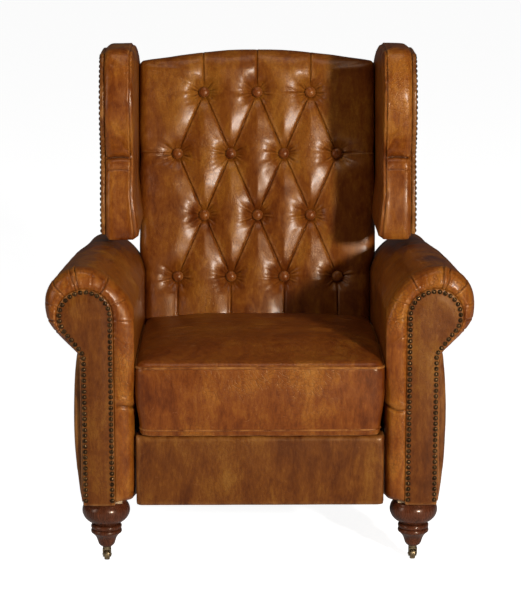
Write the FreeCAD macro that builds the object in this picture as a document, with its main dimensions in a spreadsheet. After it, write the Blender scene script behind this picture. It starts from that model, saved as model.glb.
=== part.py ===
"""Push-back recliner armchair: a wing chair with scroll arms, a buttoned back and a folding footrest.

Frame: +Z up, X across the chair, -Y is the front. The origin is on the floor, under the middle of the
chair's box. Millimetres. Every driving dimension is a cell of the Dims spreadsheet.

How it works: leaning back turns the back about the pivot at the seat's rear, the seat glides forward in
two channels, and two sets of four links swing the front panel up and out as a footrest.
"""
import FreeCAD, Part
import math
import os
import Sketcher
from FreeCAD import Placement, Rotation, Vector

doc = FreeCAD.newDocument("recliner")

DIMENSIONS = {
    # overall
    "overall_width": (876, "across the two arm scrolls"),
    "overall_depth": (830, "cushion front to the back's rear edge"),
    "overall_height": (1035, "floor to the top of the wings"),
    "seat_opening": (516, "between the arms at seat level"),
    "clearance": (0.3, "between pieces that only lie beside each other"),
    # arms
    "arm_bottom": (135, "underside of the arms above the floor"),
    "arm_height": (634, "top of the scroll at the front"),
    "arm_setback": (8, "arm front behind the cushion front"),
    "arm_length": (632, "arm front to the rear end of the roll"),
    "arm_rake": (46, "how much further back the arm's foot ends than its roll"),
    "roll_radius": (78, "scroll at the front"),
    "rear_roll_radius": (42, "roll at the rear"),
    "roll_fall": (46, "drop of the roll's top from front to rear, steeper behind the wing's front"),
    "roll_lean": (16, "how far the roll's centre moves in from front to rear"),
    "roll_swell": (36, "how round the inner side of the roll is at the front"),
    "rear_roll_swell": (32, "how round it is at the rear"),
    "bulge": (9, "how far the inner arm swells into the seat opening"),
    "border_depth": (18, "rounded front border of the arm"),
    "neck_height": (457, "underside of the scroll"),
    "post_inner": (27, "arm's inner face to its wooden frame"),
    "post_width": (71, "width of the wooden arm frame"),
    "side_belly": (9, "outward curve of the outer side panel"),
    "side_thickness": (18, "outer side panel at its thinnest"),
    "frame_stock": (38, "depth of the arm frame's posts and rails"),
    "facing_thickness": (12, "scroll facing panel"),
    "facing_radius": (57, "head of the facing panel"),
    "facing_neck": (66, "width of the facing panel below its head"),
    # nails
    "nail_radius": (4.8, "dome of a nail head"),
    "nail_height": (2.6, "height of the dome"),
    "nail_pitch": (11.6, "nail to nail"),
    "nail_shank": (9, "shank below the head"),
    "nail_inset": (6, "nail line inside the panel's edge"),
    # legs and casters
    "front_leg_setback": (58, "front leg's centre behind the cushion front"),
    "bun_radius": (48, "widest turning of the front leg"),
    "ring_radius": (32, "bead below the bun"),
    "ankle_radius": (19, "foot of the turning"),
    "leg_foot": (33, "underside of the turned leg above the floor"),
    "stem_radius": (4, "caster stem"),
    "stem_depth": (30, "caster stem inside the leg"),
    "wheel_radius": (12.5, "caster wheel"),
    "wheel_width": (11, "caster wheel"),
    "caster_trail": (9, "axle behind the stem"),
    "fork_thickness": (2.5, "caster fork"),
    "rear_leg_top": (52, "square head of the rear leg"),
    "rear_leg_foot": (32, "square foot of the rear leg"),
    "rear_leg_rake": (62, "foot of the rear leg behind its head"),
    # seat
    "cushion_bottom": (285, "underside of the seat cushion"),
    "cushion_front_top": (441, "front edge of the cushion's top"),
    "cushion_rear_top": (416, "rear edge of the cushion's top"),
    "cushion_width": (492, "seat cushion"),
    "cushion_round": (22, "rounding of the cushion's edges"),
    "cover_thickness": (3, "leather cover and lining"),
    "seat_rail_height": (46, "wooden seat rail"),
    "seat_rail_thickness": (22, "wooden seat rail"),
    "seat_frame_front": (66, "seat frame behind the cushion front"),
    "deck_thickness": (3, "cloth over the springs"),
    "spring_wire": (3.6, "zigzag spring wire"),
    "spring_count": (5, "zigzag springs"),
    "spring_bend": (36, "bend to bend along a spring"),
    "spring_width": (46, "across a zigzag spring"),
    # glide
    "channel_height": (32, "glide channel"),
    "channel_depth": (10, "glide channel's flanges"),
    "channel_wall": (3, "glide channel's steel"),
    "channel_length": (430, "glide channel"),
    "glide_travel": (60, "seat's forward travel"),
    # back
    "back_rake": (13, "degrees the back leans at rest"),
    "pivot_height": (250, "back pivot above the floor"),
    "back_rise": (756, "pivot to the top of the back, along the back"),
    "back_shoulder": (28, "fall of the back's top from middle to corner"),
    "back_width": (492, "buttoned back between the wings"),
    "back_padding": (96, "thickness of the buttoned back"),
    "back_frame_stock": (40, "thickness of the back frame"),
    "panel_thickness": (8, "outside back panel"),
    "back_padding_front": (100, "padding face ahead of the pivot"),
    "button_radius": (11, "covered button"),
    "button_pitch": (121, "button to button along a row"),
    "button_row_pitch": (140, "row to row"),
    "button_first_row": (236, "lowest row above the pivot, along the back"),
    # wings
    "wing_clearance": (5, "wing's lower edge above the middle of the roll"),
    "wing_inner": (514, "between the wings"),
    "wing_thickness": (74, "padded wing without its outer panel"),
    "wing_panel": (10, "wing's outer panel"),
    "wing_reach": (352, "wing front behind the cushion front"),
    "wing_lobe": (26, "how far the upper lobe bulges ahead of the crease"),
    "wing_sweep": (180, "lower edge of a wing to its crease"),
    "wing_board": (15, "wooden wing board"),
    # footrest
    "footrest_bottom": (133, "lower edge of the footrest panel"),
    "footrest_width": (508, "footrest panel"),
    "footrest_padding": (22, "leather and foam on the footrest board"),
    "footrest_board": (18, "footrest board"),
    "footrest_setback": (10, "footrest face behind the cushion front"),
    "footrest_gap": (1.5, "between the footrest and the cushion"),
    "footrest_turn": (85, "degrees the footrest turns"),
    # links: distances behind the cushion front, heights above the floor
    "link_thickness": (4, "link steel"),
    "link_gap": (1, "between neighbouring links"),
    "link_width": (16, "link"),
    "pin_radius": (4, "link pin"),
    "pin_clearance": (0.05, "running clearance round a pin"),
    "link_plane": (218, "outer face of the seat plate from the middle"),
    "front_pivot_setback": (104, "front link's pivot"),
    "front_pivot_height": (226, "front link's pivot"),
    "front_link": (155, "front link, pivot to knee"),
    "front_link_rest": (207, "degrees, its direction at rest from straight ahead"),
    "front_link_turn": (138, "degrees it turns"),
    "carrier_tail": (35, "carrier link behind the knee"),
    "carrier_turn": (45, "degrees the carrier link turns"),
    "ankle_setback": (67, "carrier link's pivot on the footrest"),
    "ankle_height": (165, "carrier link's pivot on the footrest"),
    "bracket_arm": (50, "between the footrest bracket's two pivots"),
    "tube_radius": (6, "torque tube between the front links"),
    "tube_place": (30, "torque tube from the front link's pivot"),
    "open_gap": (0.3, "face gap where the linkage is open"),
    "cross_rail_setback": (330, "front cross rail behind the cushion front"),
    "cross_rail_height": (40, "cross rails between the arms"),
    "dust_cover": (2, "cloth under the seat"),
    "shoe_length": (40, "nylon glide shoe"),
    "bolt_radius": (4, "bolts and dowels"),
    "screw_radius": (2.2, "wood screws"),
    "pivot_radius": (6, "back pivot bolt"),
    "pivot_lug": (15.5, "steel round the back pivot"),
    "bracket_width": (36, "back bracket"),
    "bracket_length": (150, "back bracket"),
    "button_depth": (28, "how deep a button is pulled in"),
    "back_foot": (16, "lower end of the back above the pivot, along the back"),
    "upright_width": (40, "back frame's uprights"),
    "bottom_rail_rise": (14, "back frame's bottom rail above the back's foot"),
    "bottom_rail_width": (60, "back frame's bottom rail"),
    "mid_rail_rise": (422, "back frame's middle rail above the pivot"),
    "mid_rail_width": (50, "back frame's middle rail"),
    "top_rail_drop": (24, "back frame's top rail below the back's corners"),
    "top_rail_width": (46, "back frame's top rail"),
    "webbing_width": (44, "strap of the back's webbing"),
}

sheet = doc.addObject("Spreadsheet::Sheet", "Dims")
for row, (alias, (number, note)) in enumerate(DIMENSIONS.items(), start=1):
    sheet.set(f"A{row}", alias)
    sheet.set(f"B{row}", str(number))
    sheet.setAlias(f"B{row}", alias)
    sheet.set(f"C{row}", note)
doc.recompute()


class Size(float):
    """A number that remembers the spreadsheet formula it came from, so that a property can be bound to it."""

    def __new__(cls, number, formula):
        made = super().__new__(cls, number)
        made.formula = formula
        return made

    def __add__(self, other):
        return joined(self, other, "+", float(self) + float(other))

    def __radd__(self, other):
        return joined(other, self, "+", float(other) + float(self))

    def __sub__(self, other):
        return joined(self, other, "-", float(self) - float(other))

    def __rsub__(self, other):
        return joined(other, self, "-", float(other) - float(self))

    def __mul__(self, other):
        return joined(self, other, "*", float(self) * float(other))

    __rmul__ = __mul__

    def __truediv__(self, other):
        return joined(self, other, "/", float(self) / float(other))

    def __neg__(self):
        return self * -1


def formula_of(number):
    return number.formula if isinstance(number, Size) else f"({float(number)!r})"


def joined(left, right, sign, number):
    return Size(number, f"({formula_of(left)} {sign} {formula_of(right)})")


def dim(alias):
    return Size(float(sheet.get(alias)), f"Dims.{alias}")


def bind(made, prop, number):
    made.setExpression(prop, formula_of(number))


LEFT, RIGHT = -1, 1
SIDES = {LEFT: "left", RIGHT: "right"}
finished = []  # the sub-parts, in the order they are written


def keep(made, label):
    """Names a sub-part and puts it on the list of what is written."""
    made.Label = label
    finished.append(made)
    return made


# ------------------------------------------------------------------ places that several pieces share
gap = dim("clearance")
front = dim("overall_depth") / -2          # Y of the cushion's front, the foremost plane
rear = dim("overall_depth") / 2
arm_inner = dim("seat_opening") / 2
arm_front = front + dim("arm_setback")
arm_end = arm_front + dim("arm_length")
frame_inner = arm_inner + dim("post_inner")
frame_outer = frame_inner + dim("post_width")
arm_bottom = dim("arm_bottom")
neck = dim("neck_height")
leg_x = (frame_inner + frame_outer) / 2
front_leg_y = front + dim("front_leg_setback")
rear_leg_y = arm_end - dim("frame_stock") * 0.9
leg_bolt_reach = dim("frame_stock") - 8
back_rake = dim("back_rake")
lean_sin = math.sin(math.radians(back_rake))
lean_cos = math.cos(math.radians(back_rake))

# The back is drawn upright about its pivot and then leaned: "ahead" is measured forward of the pivot.
padding_front = dim("back_padding_front")
padding_rear = padding_front - dim("back_padding")
frame_rear = padding_rear - dim("back_frame_stock")
panel_rear = frame_rear - dim("panel_thickness")
pivot_z = dim("pivot_height")
# The panel's top rear edge touches the rear plane of the chair's box.
pivot_y = rear - dim("back_rise") * lean_sin + panel_rear * lean_cos


def leaned(ahead, along):
    """(y, z) of a point so far ahead of the pivot and so far along the leaning back."""
    return (pivot_y - ahead * lean_cos + along * lean_sin, pivot_z + along * lean_cos + ahead * lean_sin)


def back_face_y(height):
    """Y of the buttoned back's face at a height."""
    along = (height - pivot_z - padding_front * lean_sin) / lean_cos
    return pivot_y - padding_front * lean_cos + along * lean_sin


# ------------------------------------------------------------------ small makers
def box(name, across, along, up):
    """A Part::Box between (low, high) pairs, each bound to the spreadsheet."""
    made = doc.addObject("Part::Box", name)
    for prop, axis, (low, high) in zip(("Length", "Width", "Height"), "xyz", (across, along, up)):
        bind(made, prop, high - low)
        bind(made, "Placement.Base." + axis, low)
    return made


def on_side(side, low, high):
    """An X range on one side of the chair."""
    return (low, high) if side == RIGHT else (-high, -low)


def cylinder_x(name, radius, low, high, y, z):
    """A Part::Cylinder along X from low to high."""
    made = doc.addObject("Part::Cylinder", name)
    bind(made, "Radius", radius)
    bind(made, "Height", high - low)
    made.Placement = Placement(Vector(low, y, z), Rotation(Vector(0, 1, 0), 90))
    return made


def cylinder_z(name, radius, x, y, low, high):
    """A Part::Cylinder along Z from low to high."""
    made = doc.addObject("Part::Cylinder", name)
    bind(made, "Radius", radius)
    bind(made, "Height", high - low)
    made.Placement = Placement(Vector(x, y, low), Rotation())
    return made


def fuse(name, pieces):
    made = doc.addObject("Part::MultiFuse", name)
    made.Shapes = pieces
    made.Refine = True
    return made


def cut(name, base, tool):
    made = doc.addObject("Part::Cut", name)
    made.Base = base
    made.Tool = tool
    return made


def group(name, pieces):
    """Separate solids that share one node."""
    made = doc.addObject("Part::Compound", name)
    made.Links = pieces
    return made


def feature(label, shape):
    made = doc.addObject("Part::Feature", label)
    made.Shape = shape
    return keep(made, label)


def lean(made):
    """Leans an upright piece of the back and sets it on the pivot."""
    made.Placement = Placement(Vector(0, pivot_y, pivot_z), Rotation(Vector(1, 0, 0), -float(back_rake)))
    return made


def both_sides(shape):
    """The piece and its mirror image, as one node's two solids."""
    return Part.makeCompound([shape, shape.mirror(Vector(), Vector(1, 0, 0))])


def wire(points):
    """A closed wire. A point is (a, b), or (a, b, (va, vb)) where an arc through (va, vb) leads to it."""
    edges = []
    last = Vector(*points[-1][0])
    for point in points:
        here = Vector(*point[0])
        if len(point) == 2:
            edges.append(Part.Arc(last, Vector(*point[1]), here).toShape())
        else:
            edges.append(Part.makeLine(last, here))
        last = here
    return Part.Wire(edges)


def mirrored(shape, side):
    return shape if side == RIGHT else shape.mirror(Vector(), Vector(1, 0, 0))


def along_wire(path, pitch):
    """Points at about the pitch along an open wire, and its two ends."""
    count = max(2, round(path.Length / pitch) + 1)
    return path.discretize(Number=count)


def sketch_on(body, role, name):
    plane = next(f for f in body.Origin.OriginFeatures if f.Role == role)
    made = body.newObject("Sketcher::SketchObject", name)
    made.AttachmentSupport = [(plane, "")]
    made.MapMode = "FlatFace"
    return made


def draw_profile(sketch, corners):
    """Lines and arcs through the corners, each corner held to the spreadsheet.

    A corner is (a, b) or (a, b, radius, bulge): an arc of that radius leads to it, on the side of bulge.
    """
    count = len(corners)
    for i, corner in enumerate(corners):
        start, end = corners[i - 1], corner
        a, b = Vector(start[0], start[1], 0), Vector(end[0], end[1], 0)
        if len(corner) == 2:
            sketch.addGeometry(Part.LineSegment(a, b))
            continue
        radius, bulge = corner[2], corner[3]
        half = (b - a) / 2
        normal = Vector(-half.y, half.x, 0).normalize() * bulge
        depth = math.sqrt(radius**2 - half.Length**2)
        sketch.addGeometry(Part.Arc(a, a + half + normal * (radius - depth), b))
    for i, corner in enumerate(corners):
        sketch.addConstraint(Sketcher.Constraint("Coincident", i, 2 if is_forward(sketch, i, corner) else 1,
                                                 (i + 1) % count,
                                                 start_point(sketch, (i + 1) % count, corner)))
        end_id = 2 if is_forward(sketch, i, corner) else 1
        for kind, number in (("DistanceX", corner[0]), ("DistanceY", corner[1])):
            if abs(float(number)) < 1e-9:
                axis = -2 if kind == "DistanceX" else -1
                sketch.addConstraint(Sketcher.Constraint("PointOnObject", i, end_id, axis))
                continue
            sketch.addConstraint(Sketcher.Constraint(kind, -1, 1, i, end_id, float(number)))
            bind(sketch, f"Constraints[{sketch.ConstraintCount - 1}]", number)
        if len(corner) > 2:
            sketch.addConstraint(Sketcher.Constraint("Radius", i, float(corner[2])))
            bind(sketch, f"Constraints[{sketch.ConstraintCount - 1}]", corner[2])
    return sketch


def is_forward(sketch, index, corner):
    """True if the edge's second point is at the corner: an arc may be stored the other way round."""
    end = sketch.getPoint(index, 2)
    return abs(end.x - float(corner[0])) < 1e-4 and abs(end.y - float(corner[1])) < 1e-4


def start_point(sketch, index, corner):
    """The point id of the edge's end that lies at the corner."""
    first = sketch.getPoint(index, 1)
    return 1 if abs(first.x - float(corner[0])) < 1e-4 and abs(first.y - float(corner[1])) < 1e-4 else 2


# ------------------------------------------------------------------ arms
def arm_section(y, share, inset, cover):
    """The padded arm's section: inner pad and roll, open where the wooden frame and the side panel sit.

    cover is how far out the lower part reaches: to the frame's inner face, or over the frame.

    share runs from 0 at the front scroll to 1 at the rear. inset shrinks it for the rounded front border.
    """
    radius = dim("roll_radius") + (dim("rear_roll_radius") - dim("roll_radius")) * share - inset
    top = dim("arm_height") - dim("roll_fall") * share**2 - inset
    centre_x = dim("overall_width") / 2 - dim("roll_radius") - dim("roll_lean") * share
    centre_z = top - radius
    inner = arm_inner + inset
    shoulder = arm_inner - dim("bulge") * (1 - share) + inset
    shoulder_z = neck + dim("border_depth")
    tail = math.radians(-35)
    inner_low = neck - dim("roll_radius") - inset
    half_way = Vector(shoulder, 0, shoulder_z) * 0.5 + Vector(centre_x, 0, top) * 0.5
    swell = dim("roll_swell") + (dim("rear_roll_swell") - dim("roll_swell")) * share
    side_way = Vector(shoulder_z - top, 0, centre_x - shoulder).normalize() * swell
    crown = half_way + side_way
    return wire([
        ((cover, y, arm_bottom + inset),),
        ((inner, y, arm_bottom + inset),),
        ((inner, y, inner_low),),
        ((shoulder, y, shoulder_z),
         ((inner + shoulder) / 2 - dim("bulge") * 0.2, y, (inner_low + shoulder_z) / 2)),
        ((centre_x, y, top), (crown.x, y, crown.z)),
        ((centre_x + radius * math.cos(tail), y, centre_z + radius * math.sin(tail)),
         (centre_x + radius, y, centre_z)),
        ((frame_outer + dim("side_thickness") - inset, y, neck),),
        ((cover, y, neck),),
    ])


def rear_cutter(margin=0.0):
    """Everything behind the arm's raked rear end."""
    foot = arm_end + dim("arm_rake")
    top_z, far = dim("arm_height"), 400
    points = [(0, arm_end + margin, top_z), (0, foot + margin, arm_bottom), (0, foot + margin, 0),
              (0, rear + far, 0), (0, rear + far, top_z + far), (0, arm_end + margin, top_z + far)]
    face = Part.Face(Part.makePolygon([Vector(*p) for p in points] + [Vector(*points[0])]))
    return face.extrude(Vector(dim("overall_width"), 0, 0))


def room(across, along, up):
    """A plain box shape between (low, high) pairs, for cutting."""
    sizes = [high - low for low, high in (across, along, up)]
    return Part.makeBox(*sizes, Vector(across[0], along[0], up[0]))


channel_middle = arm_bottom + dim("frame_stock") * 3.5
channel_z = (channel_middle - dim("channel_height") / 2, channel_middle + dim("channel_height") / 2)
channel_y = (front + dim("seat_frame_front"), front + dim("seat_frame_front") + dim("channel_length"))
cross_rail_z = (arm_bottom + dim("dust_cover"), arm_bottom + dim("dust_cover") + dim("cross_rail_height"))
front_cross_y = (front + dim("cross_rail_setback"), front + dim("cross_rail_setback") + dim("frame_stock"))
rear_cross_y = (arm_end - 2 * dim("frame_stock"), arm_end - dim("frame_stock"))


def channel_room():
    """Notch in the arm pad for the block that carries the glide channel."""
    return room((arm_inner - 20, frame_inner), (channel_y[0], channel_y[1]), channel_z)


def cross_rail_rooms():
    return [room((0, frame_inner), along, (arm_bottom - 1, cross_rail_z[1] + gap)) for along in
            (front_cross_y, rear_cross_y)]


def arm_pad(side):
    """Foam and leather over the arm: the scroll roll and the inner panel."""
    far_end = arm_end + dim("arm_rake")
    border = arm_front + dim("border_depth")
    round_over = dim("border_depth") * 0.5
    outside = frame_outer + dim("side_thickness") - 1
    shape = Part.makeLoft([arm_section(arm_front, 0, round_over, outside - round_over),
                           arm_section(border, 0, 0, outside)], True, True)
    length = far_end - border
    stations = [arm_section(border + length * share, share, 0, frame_inner) for share in (0, 0.5, 1)]
    body = Part.makeLoft(stations, True, True)
    shape = shape.fuse(body).removeSplitter().cut(rear_cutter())
    for recess in (facing_plate(gap), channel_room(), *cross_rail_rooms()):
        shape = shape.cut(recess)
    feature(f"{SIDES[side]}_arm_pad", mirrored(shape, side))


def facing_outline(y, grow):
    """Head and neck of the scroll facing, as a list of wire points; grow moves its edge outwards."""
    radius = dim("facing_radius") + grow
    centre_x = frame_inner + dim("facing_neck") / 2 + dim("post_inner") + 11
    centre_z = dim("arm_height") - dim("roll_radius") - 21
    low_in = centre_x - radius
    low_out = low_in + dim("facing_neck") + 2 * grow
    chin = math.radians(-38)
    chin_x, chin_z = centre_x + radius * math.cos(chin), centre_z + radius * math.sin(chin)
    throat_z = neck - 2
    return [
        ((low_in, y, arm_bottom + gap),),
        ((low_in, y, centre_z),),
        ((centre_x + radius, y, centre_z), (centre_x, y, centre_z + radius)),
        ((chin_x, y, chin_z),
         (centre_x + radius * math.cos(chin / 2), y, centre_z + radius * math.sin(chin / 2))),
        ((low_out, y, throat_z), ((chin_x * 0.36 + low_out * 0.64), y, (chin_z + throat_z) / 2 - 6)),
        ((low_out, y, arm_bottom + gap),),
    ]


def facing_plate(grow):
    face = Part.Face(wire(facing_outline(arm_front - grow, grow)))
    return face.extrude(Vector(0, dim("facing_thickness") + 2 * grow, 0))


def shanks(places, outward):
    """Bores for a row of nails."""
    depth = dim("nail_shank")
    bores = [Part.makeCylinder(0.9, depth + 1, place - outward * depth, outward) for place in places]
    return Part.makeCompound(bores)


def nail(place, outward):
    """A domed nail head on a shank, pointing outward."""
    radius, height = dim("nail_radius"), dim("nail_height")
    sphere_radius = (radius**2 + height**2) / (2 * height)
    half_height = math.sqrt(sphere_radius**2 - radius**2 / 4) - sphere_radius + height
    profile = Part.Wire([
        Part.makeLine(Vector(0, 0, -dim("nail_shank")), Vector(0.9, 0, -dim("nail_shank"))),
        Part.makeLine(Vector(0.9, 0, -dim("nail_shank")), Vector(0.9, 0, 0)),
        Part.makeLine(Vector(0.9, 0, 0), Vector(radius, 0, 0)),
        Part.Arc(Vector(radius, 0, 0), Vector(radius * 0.5, 0, half_height), Vector(0, 0, height)).toShape(),
        Part.makeLine(Vector(0, 0, height), Vector(0, 0, -dim("nail_shank"))),
    ])
    shape = Part.Face(profile).revolve(Vector(), Vector(0, 0, 1), 360)
    shape.Placement = Placement(place, Rotation(Vector(0, 0, 1), outward))
    return shape


FORWARD = Vector(0, -1, 0)
OUTWARD = Vector(1, 0, 0)


def arm_nail_places():
    outline = wire(facing_outline(arm_front, -dim("nail_inset")))
    path = Part.Wire(outline.OrderedEdges[1:])
    lift = dim("nail_radius")
    return [p for p in along_wire(path, dim("nail_pitch")) if p.z > arm_bottom + lift]


def arm_facing(side):
    plate = facing_plate(0.0).cut(shanks(arm_nail_places(), FORWARD))
    feature(f"{SIDES[side]}_arm_facing", mirrored(plate, side))


def arm_nails():
    """A row round each scroll facing."""
    feature("arm_nails", both_sides(Part.makeCompound([nail(p, FORWARD) for p in arm_nail_places()])))


def arm_rear_panels():
    """Leather-covered boards that close the arms behind, below the roll."""
    def end_at(z):
        share = (z - arm_bottom) / (dim("arm_height") - arm_bottom)
        return arm_end + dim("arm_rake") * (1 - share) + gap

    low, high = arm_bottom, neck - gap
    points = [(end_at(low), low), (end_at(high), high), (end_at(high) + dim("panel_thickness"), high),
              (end_at(low) + dim("panel_thickness"), low)]
    corners = [Vector(arm_inner, y, z) for y, z in points]
    width = frame_outer + dim("side_thickness") - arm_inner
    shape = Part.Face(Part.makePolygon(corners + corners[:1])).extrude(Vector(width, 0, 0))
    feature("arm_rear_panels", both_sides(shape))


def arm_frame(side):
    """Two posts and three rails of hardwood, inside the padding."""
    stock = dim("frame_stock")
    across = on_side(side, frame_inner + gap, frame_outer - gap)
    first = arm_front + dim("border_depth")
    last = arm_end - stock * 0.4
    top = neck - gap
    pieces = [
        box("front_post", across, (first, first + stock), (arm_bottom, top)),
        box("rear_post", across, (last - stock, last), (arm_bottom, top)),
        box("bottom_rail", across, (first, last), (arm_bottom, arm_bottom + stock)),
        box("top_rail", across, (first, last), (top - stock, top)),
        box("middle_rail", across, (first, last), (arm_bottom + 3 * stock, arm_bottom + 4 * stock)),
    ]
    joints = [cylinder_z("bore", dim("bolt_radius"), side * leg_x, y, arm_bottom - 1, arm_bottom + leg_bolt_reach)
              for y in (front_leg_y, rear_leg_y)]
    keep(cut("arm_frame", fuse("timber", pieces), fuse("bores", joints)), f"{SIDES[side]}_arm_frame")


def arm_outer_panel(side):
    """The leather-covered outer side, gently bellied."""
    inner = frame_outer + gap
    outer = frame_outer + dim("side_thickness")
    low, high = arm_bottom, neck - gap
    first, last = arm_front + dim("border_depth") + gap, arm_end + dim("arm_rake")
    face = Part.Face(wire([
        ((inner, first, low),),
        ((inner, first, high),),
        ((outer, first, high),),
        ((outer - 5, first, low), (outer + dim("side_belly"), first, (low + high) / 2)),
    ]))
    shape = face.extrude(Vector(0, last - first, 0)).cut(rear_cutter()).cut(facing_plate(gap))
    feature(f"{SIDES[side]}_arm_outer_panel", mirrored(shape, side))


# ------------------------------------------------------------------ legs and casters
def front_leg(side):
    """A turned bun foot: PartDesign revolution with a bore for the caster stem."""
    body = doc.addObject("PartDesign::Body", f"{SIDES[side]}_front_leg")
    bun, ring, ankle = dim("bun_radius"), dim("ring_radius"), dim("ankle_radius")
    foot, top = dim("leg_foot"), arm_bottom
    profile = [
        (Size(0, "0"), foot),
        (ankle * 0.45, foot),
        (ankle - 1, foot + 11, ankle * 0.75, -1),
        (ankle + 2, foot + 20),
        (ring - 2, foot + 31, ring * 1.1, 1),
        (ring, foot + 36, ring * 0.12, -1),
        (ring - 4, foot + 40, ring * 0.12, -1),
        (ring, foot + 45, ring * 0.14, -1),
        (ring - 5, foot + 50, ring * 0.14, -1),
        (ring - 3, foot + 54),
        (bun, foot + 72, bun * 0.62, -1),
        (bun - 4, top - 6, bun * 0.5, -1),
        (bun - 8, top - 1, bun * 0.3, -1),
        (bun - 8, top),
        (Size(0, "0"), top),
    ]
    outline = sketch_on(body, "XZ_Plane", "profile")
    draw_profile(outline, profile)
    turning = body.newObject("PartDesign::Revolution", "turning")
    turning.Profile = outline
    turning.ReferenceAxis = (outline, ["V_Axis"])
    turning.Angle = 360
    doc.recompute()
    bore_sketch = sketch_on(body, "XZ_Plane", "bore_profile")
    wall = dim("stem_radius") + dim("pin_clearance")
    draw_profile(bore_sketch, [(Size(0, "0"), foot - 1), (wall, foot - 1), (wall, foot + dim("stem_depth")),
                               (Size(0, "0"), foot + dim("stem_depth"))])
    bore = body.newObject("PartDesign::Groove", "stem_bore")
    bore.Profile = bore_sketch
    bore.ReferenceAxis = (bore_sketch, ["V_Axis"])
    bore.Angle = 360
    doc.recompute()
    bolt_sketch = sketch_on(body, "XZ_Plane", "bolt_profile")
    draw_profile(bolt_sketch, [(Size(0, "0"), top - leg_bolt_reach), (dim("bolt_radius"), top - leg_bolt_reach),
                               (dim("bolt_radius"), top + 1), (Size(0, "0"), top + 1)])
    bolt_bore = body.newObject("PartDesign::Groove", "bolt_bore")
    bolt_bore.Profile = bolt_sketch
    bolt_bore.ReferenceAxis = (bolt_sketch, ["V_Axis"])
    bolt_bore.Angle = 360
    doc.recompute()
    body.Placement = Placement(Vector(side * leg_x, front_leg_y, 0), Rotation())
    keep(body, f"{SIDES[side]}_front_leg")


def rear_leg(side):
    """A square leg that tapers and rakes backwards."""
    top, foot, rake = dim("rear_leg_top") / 2, dim("rear_leg_foot") / 2, dim("rear_leg_rake")
    head_y = rear_leg_y

    def square(half, y, z):
        corners = [Vector(leg_x + a * half, y + b * half, z) for a, b in ((-1, -1), (1, -1), (1, 1), (-1, 1))]
        return Part.makePolygon(corners + corners[:1])

    middle = arm_bottom * 0.45
    between = foot + (top - foot) * 0.35
    shape = Part.makeLoft([square(top, head_y, arm_bottom), square(between, head_y + rake * 0.42, middle),
                           square(foot, head_y + rake, 4)], True, False)
    edges = [e for e in shape.Edges if e.BoundBox.ZLength > 10]
    shape = shape.makeFillet(3, edges)
    foot = Vector(leg_x, head_y, arm_bottom - leg_bolt_reach)
    bore = Part.makeCylinder(dim("bolt_radius"), leg_bolt_reach, foot)
    feature(f"{SIDES[side]}_rear_leg", mirrored(shape.cut(bore), side))


def rear_leg_pads():
    """Nylon glides under the rear legs."""
    y = rear_leg_y + dim("rear_leg_rake")
    radius = dim("rear_leg_foot") * 0.35
    pads = [cylinder_z("leg_pad", radius, side * leg_x, y, Size(0, "0"), Size(4, "4")) for side in SIDES]
    keep(group("rear_leg_pads", pads), "rear_leg_pads")


def caster_fork(side):
    """Stem, washer, bent fork and its riveted axle; the axle is a separate solid."""
    wall, width = dim("fork_thickness"), dim("wheel_width")
    inside = width / 2 + 0.6
    trail, axle_z, wheel = dim("caster_trail"), dim("wheel_radius"), dim("wheel_radius")
    crown = 2 * wheel + 1.0
    x0, y0 = side * leg_x, front_leg_y
    foot = dim("leg_foot")
    stem = cylinder_z("stem", dim("stem_radius"), x0, y0, crown, foot + dim("stem_depth") - 1)
    washer = cylinder_z("washer", dim("ankle_radius") * 0.42, x0, y0, crown + wall, foot - gap)
    across = (x0 - inside - wall, x0 + inside + wall)
    bridge = box("bridge", across, (y0 - 7.5, y0 + trail + 3), (crown, crown + wall))
    cheeks = []
    for way in (-1, 1):
        low = x0 + (inside if way > 0 else -inside - wall)
        shape = Part.Face(wire([
            ((low, y0 - 7.5, crown + wall),),
            ((low, y0 - 7.0, crown - 3),),
            ((low, y0 + trail - 5.2, axle_z - 1),),
            ((low, y0 + trail + 5.2, axle_z - 1), (low, y0 + trail, axle_z - 6.2)),
            ((low, y0 + trail + 3, crown + wall),),
        ])).extrude(Vector(wall, 0, 0))
        hole = Part.makeCylinder(1.8, 3 * wall, Vector(low - wall, y0 + trail, axle_z), Vector(1, 0, 0))
        cheek = doc.addObject("Part::Feature", "cheek")
        cheek.Shape = shape.cut(hole)
        cheeks.append(cheek)
    fork = fuse("fork", [stem, washer, bridge, *cheeks])
    reach = inside + wall + 1.2
    axle = cylinder_x("axle", Size(1.8, "1.8"), x0 - reach, x0 + reach, y0 + trail, axle_z)
    keep(group("caster_fork", [fork, axle]), f"{SIDES[side]}_caster_fork")


def caster_wheel(side):
    """A crowned brass wheel: PartDesign revolution about its axle."""
    body = doc.addObject("PartDesign::Body", f"{SIDES[side]}_caster_wheel")
    half, wheel = dim("wheel_width") / 2, dim("wheel_radius")
    bore = Size(1.8, "1.8") + dim("pin_clearance")
    outline = sketch_on(body, "XY_Plane", "profile")
    draw_profile(outline, [(-half, bore), (-half, wheel - 2.0), (-half + 1.6, wheel - 0.4, Size(2, "2"), 1),
                           (half - 1.6, wheel - 0.4, wheel * 3, 1), (half, wheel - 2.0, Size(2, "2"), 1), (half, bore)])
    turning = body.newObject("PartDesign::Revolution", "turning")
    turning.Profile = outline
    turning.ReferenceAxis = (outline, ["H_Axis"])
    turning.Angle = 360
    doc.recompute()
    place = Vector(side * leg_x, front_leg_y + dim("caster_trail"), wheel)
    body.Placement = Placement(place, Rotation())
    keep(body, f"{SIDES[side]}_caster_wheel")


for side in SIDES:
    arm_frame(side)
    arm_pad(side)
    arm_facing(side)
    arm_outer_panel(side)
    front_leg(side)
    rear_leg(side)
    caster_fork(side)
    caster_wheel(side)
arm_nails()
arm_rear_panels()
rear_leg_pads()


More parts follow.
